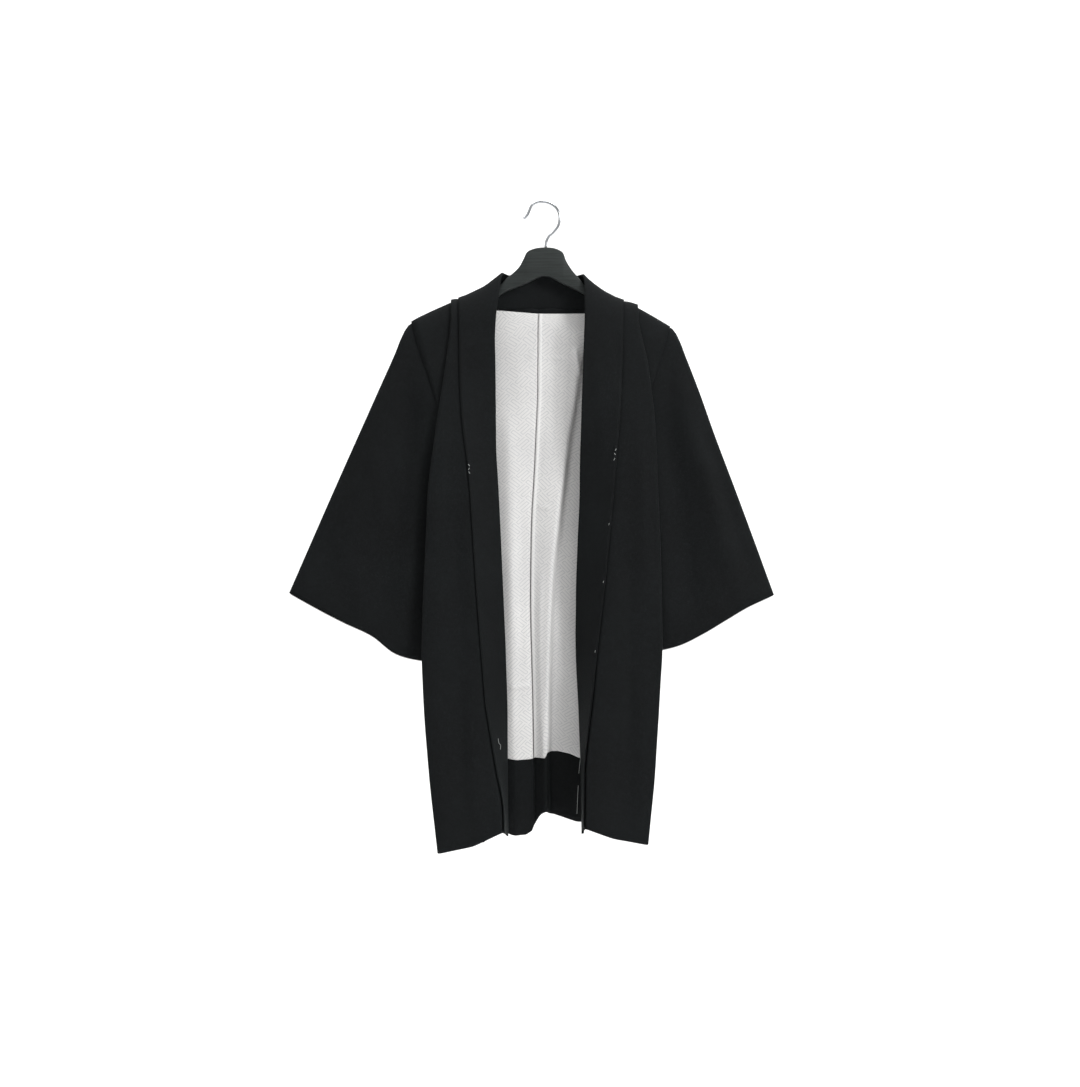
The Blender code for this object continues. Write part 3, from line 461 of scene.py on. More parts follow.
def body_row(side, run, back, steps=1):
    """One line of points across half of the body, from its inner edge to the armhole or side seam."""
    sign = -1.0 if side == "left" else 1.0
    turn = 1.0 if back else -1.0
    fold, valley, end = read(FOLDS[side], run)
    layer, gap, end_depth = read(DEPTH, run)
    heights = HEIGHTS[side]
    tip = np.pi / 2 * min(1.0, run / RIDGE_RUN) ** 0.5

    def level(line):
        top, front_hem, back_hem = heights[line]
        return top + run * ((back_hem if back else front_hem) - top)

    def at(x, line, under):
        """A point of a fold line, with so many layers over it."""
        y = turn * (layer - under * gap * np.sin(tip))
        return (sign * x, y, level(line) - under * gap * np.cos(tip))

    if back:
        fold -= BACK_FOLD_IN * min(1.0, run / BACK_FOLD_RUN)
    if back and run >= LINING_FROM:
        seam_x, seam_y = read(BACK_SEAM, run)
        ax, ay, bx, by = read(BACK[side], run)
        dips = (0.0, *read(BACK_DIP, run))
        rise = [hem_rise * max(0.0, run - 1 + HEM_RUN) / HEM_RUN for hem_rise in BACK_HEM_RISE[side]]
        inner = []
        for i, (x, y) in enumerate(((seam_x + sign * SEAM / 2, seam_y), (sign * ax, ay), (sign * bx, by))):
            z = BACK_LEVEL[0] - run * BACK_LEVEL[1] - dips[i] + rise[i]
            if i == 0 and run == LINING_FROM:
                z = BACK_TOP
                y = under_layer(x, z)
            inner.append((x, y, z))
    else:
        edge, under = collar_edge(side, run if back else -run)
        x = MIDDLE * abs(under[0]) + (1 - MIDDLE) * fold
        y = MIDDLE * under[1] + (1 - MIDDLE) * turn * layer
        inner = [edge, under, (sign * x, y, level("middle"))]
    tight = TIGHTNESS * gap
    bends = np.linspace(np.pi / 2, -np.pi / 2, 2 * steps + 1)
    line = eased(inner + [at(fold - tight, "fold", 0)], FOLD_EASING, (1, 1, 2), steps)
    line += [at(fold - tight + tight * np.cos(bend), "fold", 0.5 - 0.5 * np.sin(bend)) for bend in bends[1:]]
    turned = [at(valley + tight - tight * np.cos(bend), "valley", 1.5 - 0.5 * np.sin(bend)) for bend in bends]
    line += eased([line[-1], turned[0]], (0, 0), (2,), 1)[1:] + turned[1:]
    line += eased([turned[-1], (sign * end, turn * end_depth, level("end"))], (0, 0), (2,), 1)[1:]
    return [np.array(point, float) for point in line]


def normals_of(grid, ring=False):
    """Unit normals of a grid of points, from its own rows and columns."""
    points = np.array(grid)
    down = np.gradient(points, axis=0)
    if ring:
        steps = np.roll(points, -1, axis=1) - points
    else:
        steps = np.diff(points, axis=1)
    steps = steps / np.maximum(np.linalg.norm(steps, axis=2, keepdims=True), 1e-9)
    if ring:
        across = steps + np.roll(steps, 1, axis=1)
    else:
        across = np.concatenate([steps[:, :1], steps[:, 1:] + steps[:, :-1], steps[:, -1:]], axis=1)
    normal = np.cross(down, across)
    return normal / np.maximum(np.linalg.norm(normal, axis=2, keepdims=True), 1e-12)


def sleeve_point(side, share, across):
    """A point inside the sleeve's outline: share goes from armhole to cuff, across from top to underarm."""
    lines = SLEEVES[side]
    top, under = along(lines["top"], share), along(lines["under"], share)
    start, stop = along(lines["armhole"], across), along(lines["cuff"], across)
    corners = (
        (1 - share) * (1 - across) * np.array(lines["armhole"][0])
        + (1 - share) * across * np.array(lines["armhole"][-1])
        + share * (1 - across) * np.array(lines["cuff"][0])
        + share * across * np.array(lines["cuff"][-1])
    )
    return (1 - across) * top + across * under + (1 - share) * start + share * stop - corners


def armhole_lines(side):
    """The body's innermost layer, row by row: its inner and outer end, as out, depth and height."""
    runs = [0.0] + [run for run in reversed(RUNS_FRONT) if run < ARMHOLE_TO]
    rows = [body_row(side, run, False) for run in runs]
    return np.array([[abs(row[i][0]), -row[i][1], row[i][2]] for row in rows for i in (-3, -1)]).reshape(-1, 6)


def armhole_layer(lines, x, z):
    """How far from the hanger's plane that layer lies at this place, seen from the front."""
    share = np.clip((x - lines[:, 0]) / np.maximum(lines[:, 3] - lines[:, 0], 5.0), 0.0, 1.2)
    depths = lines[:, 1] + share * (lines[:, 4] - lines[:, 1])
    heights = lines[:, 2] + share * (lines[:, 5] - lines[:, 2])
    return float(np.interp(-z, -heights, depths))


def sleeve_depth(lines, share, across, x, z):
    """Half the sleeve's depth: just under the body's layer at the armhole, then a flat bag."""
    full = float(read(SLEEVE_DEPTH, share)[0])
    bag = full * max(0.0, 1 - abs(2 * across - 1) ** FLATNESS) ** 0.5 * (1 - NARROWER_BELOW * across)
    mix = min(1.0, max(0.0, (share - SEATED) / SPREAD))
    if mix == 1.0 or across in (0.0, 1.0):
        return bag
    slope = (armhole_layer(lines, x, z + 1) - armhole_layer(lines, x, z - 1)) / 2
    seated = max(0.0, armhole_layer(lines, x, z) - (CREPE + SEAM) * (1 + slope**2) ** 0.5)
    closing = max(0.0, (across - ARMHOLE_CLOSES) / (1 - ARMHOLE_CLOSES))
    return (1 - mix) * seated * (1 - closing**2) ** 0.5 + mix * bag


def sleeve_ring(side, share):
    """One closed line of points round the sleeve."""
    sign = -1.0 if side == "left" else 1.0
    lines = armhole_lines(side)
    ring = []
    for face, steps in ((-1, SLEEVE_ACROSS), (1, SLEEVE_ACROSS[-2:0:-1])):
        for across in steps:
            x, z = sleeve_point(side, share, across)
            depth = sleeve_depth(lines, share, across, x, z)
            ring.append((sign * x, face * depth, z))
    return ring


PHOTO_WIDTH, PHOTO_HEIGHT = 1080, 1087
PIXEL = 1.6  # millimetres of the object in one pixel of the photograph
DISTANCE = 2800.0  # from the lens to the hanger's plane
LENS = (-8.0, -DISTANCE, -543.8)

WALL = 0.9  # thickness of the crepe as it shows
LINING_WALL = 0.6  # thickness of the lining silk
FINE = 4.5  # room between neighbouring points of the cloth, across
FINE_DOWN = 8.0  # the same, going down

SEAM_FOLD = 1.8  # how far the seam allowance lifts the lining beside its centre seam
SEAM_WIDE = 8.0  # how wide it is
NECK_FOLD = 12.0  # how far forward the lining comes behind the right side of the collar
SEAM_HIGHLIGHT_WIDE = 4.8  # how wide the painted highlight along the seam is: a paler band where the raised seam ridge catches the light

FRET_LINE = 5.0  # from one line of the lining's woven fret to the next
FRET_LINES = 4.0  # lines in one bundle
FRET_WIDTH = 0.12  # half the width of a line, as a share of that distance
FRET_END = 0.25  # how far a line stops from its bundle's edge, as such a share
FRET_SHADE = 0.45  # how strongly the lines show
FRET_WAYS = ((0.684, 0.760), (0.601, -0.827))  # across and down, the two ways that the lines run

# Soft ridges and troughs of the hanging cloth, seen from the front
# rise: how far the cloth stands out there, or in where it is negative
FRONT_CREASES = (
    # from x, from z, to x, to z, half width, rise
    (-156.0, -330.0, -176.0, -560.0, 12.0, 2.2),
    (-172.0, -520.0, -158.0, -1010.0, 16.0, 2.5),
    (-142.0, -470.0, -128.0, -960.0, 13.0, -2.2),
    (-118.0, -720.0, -104.0, -1020.0, 12.0, 2.0),
    (-96.0, -215.0, -122.0, -240.0, 9.0, 1.4),
    (-88.0, -180.0, -80.0, -330.0, 8.0, -1.3),
    (150.0, -300.0, 166.0, -640.0, 13.0, 2.2),
    (128.0, -480.0, 134.0, -1000.0, 13.0, -2.2),
    (156.0, -700.0, 150.0, -1010.0, 15.0, 2.2),
    (104.0, -760.0, 92.0, -1000.0, 12.0, 2.1),
    (82.0, -230.0, 96.0, -420.0, 9.0, 1.4),
    (112.0, -190.0, 118.0, -300.0, 7.0, -1.3),
)
BACK_CREASES = (
    # from x, from z, to x, to z, half width, rise
    (-150.0, -260.0, -162.0, -640.0, 14.0, 1.8),
    (-120.0, -300.0, -126.0, -980.0, 16.0, -1.8),
    (-140.0, -700.0, -146.0, -1000.0, 15.0, 1.8),
    (140.0, -280.0, 158.0, -620.0, 14.0, 1.8),
    (112.0, -330.0, 116.0, -980.0, 16.0, -1.8),
    (146.0, -690.0, 138.0, -990.0, 15.0, 1.8),
    (-58.0, -230.0, -36.0, -420.0, 15.0, 1.2),
    (42.0, -210.0, 64.0, -330.0, 13.0, -1.2),
)
SLEEVE_CREASES = {
    "left": (
        # from x, from z, to x, to z, half width, rise
        (-275.0, -381.0, -250.0, -522.0, 12.0, 2.4),
        (-222.0, -222.0, -330.0, -600.0, 20.0, 4.4),
        (-200.0, -240.0, -262.0, -660.0, 22.0, -4.1),
        (-182.0, -300.0, -214.0, -690.0, 16.0, 4.1),
        (-262.0, -300.0, -368.0, -590.0, 13.0, -2.7),
        (-165.0, -430.0, -176.0, -700.0, 12.0, -3.1),
        (-300.0, -560.0, -290.0, -680.0, 15.0, 2.7),
    ),
    "right": (
        (258.0, -396.0, 278.0, -506.0, 12.0, 2.4),
        (206.0, -224.0, 300.0, -610.0, 19.0, 4.4),
        (202.0, -258.0, 197.0, -306.0, 6.0, -2.7),
        (186.0, -300.0, 240.0, -670.0, 20.0, -4.1),
        (172.0, -320.0, 194.0, -690.0, 15.0, 3.7),
        (240.0, -320.0, 330.0, -600.0, 12.0, -2.7),
        (150.0, -450.0, 158.0, -690.0, 12.0, -2.7),
    ),
}
LINING_CREASES = (
    # from x, from z, to x, to z, half width, rise
    (-28.0, -243.0, -11.0, -240.0, 3.0, 1.6),
    (11.0, -243.0, 27.0, -246.0, 3.0, 1.6),
    (-14.0, -484.0, 8.0, -486.0, 2.6, 1.6),
    (-60.0, -777.0, -22.0, -773.0, 3.4, 1.8),
    (48.0, -225.0, 57.0, -276.0, 4.0, 2.6),
    (-58.0, -300.0, -50.0, -700.0, 10.0, 1.8),
    (-40.0, -420.0, -44.0, -880.0, 7.0, -0.9),
    (-6.0, -560.0, -4.0, -880.0, 6.0, 1.6),
)


# How much higher the shoulders and the collar's turned edge stand than the solids', going across
SHOULDER_LIFT = (
    # x, height
    (-232.0, 0.0), (-214.0, 0.8), (-203.0, 2.6), (-176.0, 4.2), (-150.0, 4.8), (-126.0, 1.4), (-96.0, 0.6),
    (-80.0, 3.5), (-68.0, 5.0), (-58.0, 0.0), (52.0, 0.0), (62.0, 4.6), (72.0, 2.2), (96.0, 0.4),
    (112.0, 1.2), (128.0, 4.4), (154.0, 5.4), (174.0, 5.0), (195.0, 4.0), (208.0, 3.0), (220.0, 0.0),
)
# How much lower or higher the back's edges hang than the solids', going across
HEM_HANG = (
    # x, height
    (-66.0, 0.0), (-56.0, -5.0), (-40.0, -8.0), (-30.0, -11.0), (-21.0, -8.0), (-17.0, 1.0), (-8.0, 6.0),
    (-3.0, 4.0), (5.0, -2.0), (14.0, 0.0), (38.0, -4.0), (52.0, -6.0), (80.0, 0.0),
)
LINING_HANG = (
    # x, height
    (-66.0, -2.0), (-45.0, -5.0), (-22.0, -4.0), (-16.0, -1.0), (0.0, -1.0), (4.0, 8.0), (20.0, 10.0),
    (40.0, 7.0), (56.0, 1.0), (80.0, 0.0),
)


def curved(points, size, closed=False):
    """The same line, or lines side by side, as points no more than a size apart on a smooth curve."""
    points = np.array(points, float)
    if closed:
        points = np.concatenate([points[-2:], points, points[:3]])
    steps = np.diff(points, axis=0)
    gaps = np.maximum(np.linalg.norm(steps, axis=-1, keepdims=True), 1e-6)
    slopes = steps / gaps
    middle = (slopes[:-1] * gaps[1:] + slopes[1:] * gaps[:-1]) / (gaps[1:] + gaps[:-1])
    tangents = np.concatenate([slopes[:1], middle, slopes[-1:]])
    first, last = (2, len(points) - 3) if closed else (0, len(points) - 1)
    line = [points[first][None]]
    for i in range(first, last):
        before = gaps[i - 1] if i > 0 else gaps[i]
        after = gaps[i + 1] if i + 1 < len(gaps) else gaps[i]
        near = points[i] + tangents[i] * np.minimum(gaps[i], 1.5 * before) / 3
        far = points[i + 1] - tangents[i + 1] * np.minimum(gaps[i], 1.5 * after) / 3
        pieces = max(2, math.ceil(float(gaps[i].mean()) / size))
        for k in range(1, pieces + 1):
            t = k / pieces
            here = (1 - t) ** 3 * points[i] + 3 * t * (1 - t) ** 2 * near
            line.append((here + 3 * t * t * (1 - t) * far + t**3 * points[i + 1])[None])
    line = np.concatenate(line)
    return line[:-1] if closed else line


def finer(grid, closed=False, size=FINE, size_down=FINE_DOWN):
    """A grid of points with many more between them, on smooth curves down and across."""
    grid = curved(grid, size_down)
    return np.swapaxes(curved(np.swapaxes(grid, 0, 1), size, closed), 0, 1)


def rise_at(points, creases):
    """How far the creases lift the cloth at each point, in millimetres."""
    x, z = points[..., 0], points[..., 2]
    total = np.zeros(x.shape)
    for from_x, from_z, to_x, to_z, half_width, rise in creases:
        along_x, along_z = to_x - from_x, to_z - from_z
        length = math.hypot(along_x, along_z)
        share = ((x - from_x) * along_x + (z - from_z) * along_z) / length**2
        bend = 0.12 * length * np.sin(math.pi * np.clip(share, 0, 1)) * (0.4 if rise > 0 else -0.3)
        off = ((x - from_x) * along_z - (z - from_z) * along_x) / length - 0.25 * bend
        fade = np.clip(share / 0.25, 0, 1) * np.clip((1.08 - share) / 0.25, 0, 1)
        fade = fade * fade * (3 - 2 * fade)
        total += rise * fade * np.exp(-((off / half_width) ** 2))
    return total


def unevenness(points):
    """A slow, slight waviness that hanging cloth always has."""
    x, z = points[..., 0], points[..., 2]
    waves = np.sin(x / 17.0 + z / 71.0) * np.sin(z / 53.0 - x / 47.0)
    return 0.45 * waves + 0.35 * np.sin(x / 31.0 - z / 29.0 + 1.3) * np.sin(z / 37.0 + 0.4)


def lifted(points):
    """The cloth with its top edge raised along the shoulders."""
    height = np.interp(points[..., 0], *np.array(SHOULDER_LIFT).T)
    top = np.interp(points[..., 0], (-210.0, -70.0, 62.0, 210.0), (-200.0, -118.0, -118.0, -208.0))
    points[..., 2] += height * np.clip((points[..., 2] - top + 40.0) / 30.0, 0, 1)
    return points


def settled(points):
    """Front and back layers moved in and out by the same creases, so that layers that lie together stay so."""
    points = lifted(np.array(points))
    y = points[..., 1]
    depth = np.clip((np.abs(y) - 5.0) / 14.0, 0, 1)
    top = np.clip((-185.0 - points[..., 2]) / 60.0, 0, 1)
    front = rise_at(points, FRONT_CREASES) + unevenness(points)
    back = rise_at(points, BACK_CREASES) + unevenness(points + 40.0)
    points[..., 1] = y + depth * top * np.where(y < 0, -front, back)
    low = np.clip((-950.0 - points[..., 2]) / 40.0, 0, 1) * (y > 8.0)
    points[..., 2] += low * np.interp(points[..., 0], *np.array(HEM_HANG).T)
    return points


def shell(name, grid, wall, finish_of, closed=False, body="root"):
    """A thin wall of cloth on a fine grid, with its real lengths across and down as texture coordinates."""
    points = np.array(grid)
    normal = normals_of(points, closed)
    rows, columns = points.shape[:2]
    steps = np.linalg.norm(np.diff(points, axis=1), axis=2)
    across = np.concatenate([np.zeros((rows, 1)), np.cumsum(steps, axis=1)], axis=1)
    steps = np.linalg.norm(np.diff(points, axis=0), axis=2).mean(axis=1)
    down = np.concatenate([[0.0], np.cumsum(steps)])
    flat = np.stack([across, np.broadcast_to(-down[:, None], across.shape)], axis=2) / 1000
    places = np.concatenate([points + normal * wall / 2, points - normal * wall / 2]).reshape(-1, 3) * MM
    index = np.arange(rows * columns).reshape(rows, columns)
    ahead = np.roll(index, -1, axis=1)
    last = columns if closed else columns - 1
    a, b = index[:-1, :last].ravel(), ahead[:-1, :last].ravel()
    c, d = ahead[1:, :last].ravel(), index[1:, :last].ravel()
    under = rows * columns
    faces = [np.stack([a, b, c, d], axis=1), np.stack([d, c, b, a], axis=1) + under]
    for row, way in ((0, 1), (rows - 1, -1)):
        here, there = index[row, :last], ahead[row, :last]
        edge = np.stack([there, here, here + under, there + under], axis=1)
        faces.append(edge[:, ::way])
    if not closed:
        for column, way in ((0, 1), (columns - 1, -1)):
            side = index[:, column]
            edge = np.stack([side[:-1], side[1:], side[1:] + under, side[:-1] + under], axis=1)
            faces.append(edge[:, ::way])
    faces = np.concatenate(faces)
    mesh = bpy.data.meshes.new(name)
    mesh.from_pydata(places.tolist(), [], faces.tolist())
    layer = mesh.uv_layers.new(name="cloth")
    corners = np.concatenate([flat.reshape(-1, 2), flat.reshape(-1, 2)])[faces.ravel()]
    layer.data.foreach_set("uv", corners.ravel())
    return placed(name, mesh, finish_of, body)


def placed(name, mesh, finish_of, body="root"):
    """Turns a closed mesh outward, smooths its shading and puts it in the scene on its body."""
    work = bmesh.new()
    work.from_mesh(mesh)
    bmesh.ops.recalc_face_normals(work, faces=work.faces)
    work.to_mesh(mesh)
    work.free()
    for face in mesh.polygons:
        face.use_smooth = True
    thing = bpy.data.objects.new(name, mesh)
    bpy.context.scene.collection.objects.link(thing)
    mesh.materials.append(finish_of)
    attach(thing, body)
    return thing


def linear(code):
    """A colour as the shaders take it, from its sRGB code."""
    values = [int(code[i : i + 2], 16) / 255 for i in (1, 3, 5)]
    return (*[v / 12.92 if v <= 0.04045 else ((v + 0.055) / 1.055) ** 2.4 for v in values], 1.0)


def add(tree, kind, values, out=0, **settings):
    """Adds a node with its settings, gives its inputs values or links, and returns one of its outputs."""
    node = tree.nodes.new(kind)
    for key, value in settings.items():
        setattr(node, key, value)
    for key, value in values.items() if isinstance(values, dict) else enumerate(values):
        if isinstance(value, bpy.types.NodeSocket):
            tree.links.new(value, node.inputs[key])
        else:
            node.inputs[key].default_value = value
    return node.outputs[out] if node.outputs else None


def new_finish(name):
    """A material with no nodes yet, its node tree, and places on the object in metres."""
    made = bpy.data.materials.new(name)
    made.use_nodes = True
    tree = made.node_tree
    tree.nodes.clear()
    return made, tree, add(tree, "ShaderNodeTexCoord", (), out="Object")


def silk_crepe():
    """Black silk crepe."""
    made, tree, place = new_finish("black_silk_crepe")
    # The threads run along the length, so the grain is a little longer down than across
    tall = add(tree, "ShaderNodeMapping", {"Vector": place, "Scale": (1.0, 1.0, 0.62)})
    # Hard-twisted threads shrink to a fine pebbled grain that scatters light, so the silk looks matt
    grain = add(tree, "ShaderNodeTexNoise", {"Vector": tall, "Scale": 1500.0, "Detail": 2.0, "Roughness": 0.55})
    pebble = add(tree, "ShaderNodeTexVoronoi", {"Vector": tall, "Scale": 900.0})
    # Thicker places in the thread give it short paler flecks
    slub = add(tree, "ShaderNodeTexNoise", {"Vector": place, "Scale": 240.0, "Detail": 3.0, "Roughness": 0.6})
    # The dye took unevenly over a hand's width
    cloud = add(tree, "ShaderNodeTexNoise", {"Vector": place, "Scale": 9.0, "Detail": 3.0})
    slow = add(tree, "ShaderNodeMix", {0: 0.45, 2: slub, 3: cloud})
    tone = add(tree, "ShaderNodeMix", {0: 0.45, 2: slow, 3: grain})
    share = add(tree, "ShaderNodeMapRange", (tone, 0.36, 0.66, 0.0, 1.0))
    colours = {0: share, 6: linear("#090a0b"), 7: linear("#151819")}
    colour = add(tree, "ShaderNodeMix", colours, out=2, data_type="RGBA")
    rough = add(tree, "ShaderNodeMapRange", (tone, 0.3, 0.7, 0.74, 0.9))
    height = add(tree, "ShaderNodeMath", (pebble, -0.6, grain), operation="MULTIPLY_ADD")
    height = add(tree, "ShaderNodeMath", (slub, 0.6, height), operation="MULTIPLY_ADD")
    bump = add(tree, "ShaderNodeBump", {"Height": height, "Strength": 0.5, "Distance": 0.0004})
    finish = {"Base Color": colour, "Roughness": rough, "Normal": bump, "Specular IOR Level": 0.12}
    finish |= {"Sheen Weight": 0.03, "Sheen Roughness": 0.5, "Sheen Tint": linear("#a4b0b0")}
    shader = add(tree, "ShaderNodeBsdfPrincipled", finish)
    add(tree, "ShaderNodeOutputMaterial", {"Surface": shader})
    return made


def fret_lines(tree, flat):
    """Mask of a woven key fret: bundles of lines joined at alternate ends, each bundle across its neighbours."""
    unit = FRET_LINE * MM
    ways = []
    for across, down in FRET_WAYS:
        run = add(tree, "ShaderNodeVectorMath", (flat, (across / unit, down / unit, 0.0)), out=1, operation="DOT_PRODUCT")
        ways.append(run)
    bundles = [add(tree, "ShaderNodeMath", (way, FRET_LINES), operation="DIVIDE") for way in ways]
    cells = [add(tree, "ShaderNodeMath", (bundle,), operation="FLOOR") for bundle in bundles]
    count = add(tree, "ShaderNodeMath", cells, operation="ADD")
    odd = add(tree, "ShaderNodeMath", (count, 2.0), operation="FLOORED_MODULO")
    inside = [add(tree, "ShaderNodeMath", (way, FRET_LINES), operation="FLOORED_MODULO") for way in ways]
    along = add(tree, "ShaderNodeMix", {0: odd, 2: inside[0], 3: inside[1]})
    beside = add(tree, "ShaderNodeMix", {0: odd, 2: inside[1], 3: inside[0]})
    # The lines of a bundle, which stop just short of its ends
    share = add(tree, "ShaderNodeMath", (beside,), operation="FRACT")
    line = add(tree, "ShaderNodeMath", (share, 0.5, FRET_WIDTH), operation="COMPARE")
    reach = FRET_LINES / 2 - FRET_END
    body = add(tree, "ShaderNodeMath", (along, FRET_LINES / 2, reach + FRET_WIDTH), operation="COMPARE")
    line = add(tree, "ShaderNodeMath", (line, body), operation="MULTIPLY")
    # The short bars that join each line to the next, at one end and then at the other
    half = add(tree, "ShaderNodeMath", (beside, 0.5, -0.25), operation="MULTIPLY_ADD")
    turn = add(tree, "ShaderNodeMath", (half,), operation="FRACT")
    far = add(tree, "ShaderNodeMath", (turn, 0.5), operation="LESS_THAN")
    end = add(tree, "ShaderNodeMath", (far, 2 * reach, FRET_END), operation="MULTIPLY_ADD")
    bar = add(tree, "ShaderNodeMath", (along, end, FRET_WIDTH), operation="COMPARE")
    between = add(tree, "ShaderNodeMath", (beside, FRET_LINES / 2, FRET_LINES / 2 - 0.5), operation="COMPARE")
    bar = add(tree, "ShaderNodeMath", (bar, between), operation="MULTIPLY")
    return add(tree, "ShaderNodeMath", (line, bar), operation="MAXIMUM")


def lining_silk(name, patterned, seam_highlight=False):
    """Pale grey lining silk, smooth and soft, plain or with a woven key fret, and at the seam with a painted
    highlight.
    """
    made, tree, place = new_finish(name)
    # A close weave, seen only as a slight tooth
    weave = add(tree, "ShaderNodeTexNoise", {"Vector": place, "Scale": 1400.0, "Detail": 2.0})
    # It has greyed unevenly with age
    cloud = add(tree, "ShaderNodeTexNoise", {"Vector": place, "Scale": 12.0, "Detail": 2.0})
    tone = add(tree, "ShaderNodeMix", {0: 0.5, 2: weave, 3: cloud})
    share = add(tree, "ShaderNodeMapRange", (tone, 0.35, 0.65, 0.0, 1.0))
    colours = {0: share, 6: linear("#d2d1d0"), 7: linear("#dfdedc")}
    colour = add(tree, "ShaderNodeMix", colours, out=2, data_type="RGBA")
    if patterned:
        # The fret is woven in the other face of the silk, so it shows as thin lines a shade darker
        flat = add(tree, "ShaderNodeUVMap", (), uv_map="cloth")
        shade = add(tree, "ShaderNodeMath", (fret_lines(tree, flat), FRET_SHADE), operation="MULTIPLY")
        colours = {0: shade, 6: colour, 7: linear("#a2a5aa")}
        colour = add(tree, "ShaderNodeMix", colours, out=2, data_type="RGBA")
    if seam_highlight:
        # Painted highlight: a paler band painted along the seam, where the raised seam ridge catches the light
        across = add(tree, "ShaderNodeSeparateXYZ", (flat,))
        painted_highlight_band = add(tree, "ShaderNodeMapRange", (across, SEAM_HIGHLIGHT_WIDE * MM, (SEAM_HIGHLIGHT_WIDE + 1.0) * MM, 0.5, 0.0))
        colours = {0: painted_highlight_band, 6: colour, 7: linear("#f0efed")}
        colour = add(tree, "ShaderNodeMix", colours, out=2, data_type="RGBA")
    rough = add(tree, "ShaderNodeMapRange", (tone, 0.3, 0.7, 0.5, 0.62))
    bump = add(tree, "ShaderNodeBump", {"Height": weave, "Strength": 0.25, "Distance": 0.0002})
    finish = {"Base Color": colour, "Roughness": rough, "Normal": bump}
    finish |= {"Specular IOR Level": 0.3, "Sheen Weight": 0.08}
    shader = add(tree, "ShaderNodeBsdfPrincipled", finish)
    add(tree, "ShaderNodeOutputMaterial", {"Surface": shader})
    return made


def painted_wood():
    """Wood under black paint."""
    made, tree, place = new_finish("black_painted_wood")
    # The grain runs along the arms and just shows through the satin paint
    long = add(tree, "ShaderNodeMapping", {"Vector": place, "Scale": (18.0, 400.0, 400.0)})
    grain = add(tree, "ShaderNodeTexNoise", {"Vector": long, "Scale": 1.0, "Detail": 4.0, "Roughness": 0.6})
    share = add(tree, "ShaderNodeMapRange", (grain, 0.35, 0.65, 0.0, 1.0))
    colours = {0: share, 6: linear("#1b1f1e"), 7: linear("#282d2c")}
    colour = add(tree, "ShaderNodeMix", colours, out=2, data_type="RGBA")
    # Use has rubbed small paler spots in it
    worn = add(tree, "ShaderNodeTexNoise", {"Vector": place, "Scale": 60.0, "Detail": 5.0, "Roughness": 0.7})
    rubbed = add(tree, "ShaderNodeMapRange", (worn, 0.68, 0.76, 0.0, 0.35))
    colours = {0: rubbed, 6: colour, 7: linear("#464e4c")}
    colour = add(tree, "ShaderNodeMix", colours, out=2, data_type="RGBA")
    rough = add(tree, "ShaderNodeMapRange", (grain, 0.3, 0.7, 0.46, 0.62))
    bump = add(tree, "ShaderNodeBump", {"Height": grain, "Strength": 0.3, "Distance": 0.0002})
    finish = {"Base Color": colour, "Roughness": rough, "Normal": bump, "Specular IOR Level": 0.3}
    shader = add(tree, "ShaderNodeBsdfPrincipled", finish)
    add(tree, "ShaderNodeOutputMaterial", {"Surface": shader})
    return made


def chrome_wire():
    """Bright chrome plate on bent steel wire."""
    made, tree, place = new_finish("chrome_plated_wire")
    # Faint marks from drawing the wire, and a slight dullness from handling
    marks = add(tree, "ShaderNodeTexNoise", {"Vector": place, "Scale": 900.0, "Detail": 3.0})
    share = add(tree, "ShaderNodeMapRange", (marks, 0.3, 0.7, 0.0, 1.0))
    colours = {0: share, 6: linear("#a6a9ac"), 7: linear("#c4c7ca")}
    colour = add(tree, "ShaderNodeMix", colours, out=2, data_type="RGBA")
    rough = add(tree, "ShaderNodeMapRange", (marks, 0.3, 0.7, 0.12, 0.24))
    shader = add(tree, "ShaderNodeBsdfPrincipled", {"Base Color": colour, "Roughness": rough, "Metallic": 1.0})
    add(tree, "ShaderNodeOutputMaterial", {"Surface": shader})
    return made


def tacking_cotton():
    """Soft white cotton for tacking stitches."""
    made, tree, place = new_finish("white_tacking_cotton")
    # Loosely spun, so the twist shows as fine darker turns
    twist = add(tree, "ShaderNodeTexWave", {"Vector": place, "Scale": 900.0, "Distortion": 2.0}, out="Fac")
    share = add(tree, "ShaderNodeMapRange", (twist, 0.0, 1.0, 0.0, 0.3))
    colours = {0: share, 6: linear("#a9adab"), 7: linear("#7a7c7b")}
    colour = add(tree, "ShaderNodeMix", colours, out=2, data_type="RGBA")
    shader = add(tree, "ShaderNodeBsdfPrincipled", {"Base Color": colour, "Roughness": 0.8})
    add(tree, "ShaderNodeOutputMaterial", {"Surface": shader})
    return made


def studio_paper():
    """Pale matt paper of the backdrop."""
    made, tree, place = new_finish("pale_studio_paper")
    # A slight tooth keeps it from looking like a plain colour
    tooth = add(tree, "ShaderNodeTexNoise", {"Vector": place, "Scale": 300.0})
    share = add(tree, "ShaderNodeMapRange", (tooth, 0.3, 0.7, 0.0, 1.0))
    colours = {0: share, 6: linear("#f4f4f4"), 7: linear("#f8f8f8")}
    colour = add(tree, "ShaderNodeMix", colours, out=2, data_type="RGBA")
    shader = add(tree, "ShaderNodeBsdfPrincipled", {"Base Color": colour, "Roughness": 0.95})
    add(tree, "ShaderNodeOutputMaterial", {"Surface": shader})
    return made


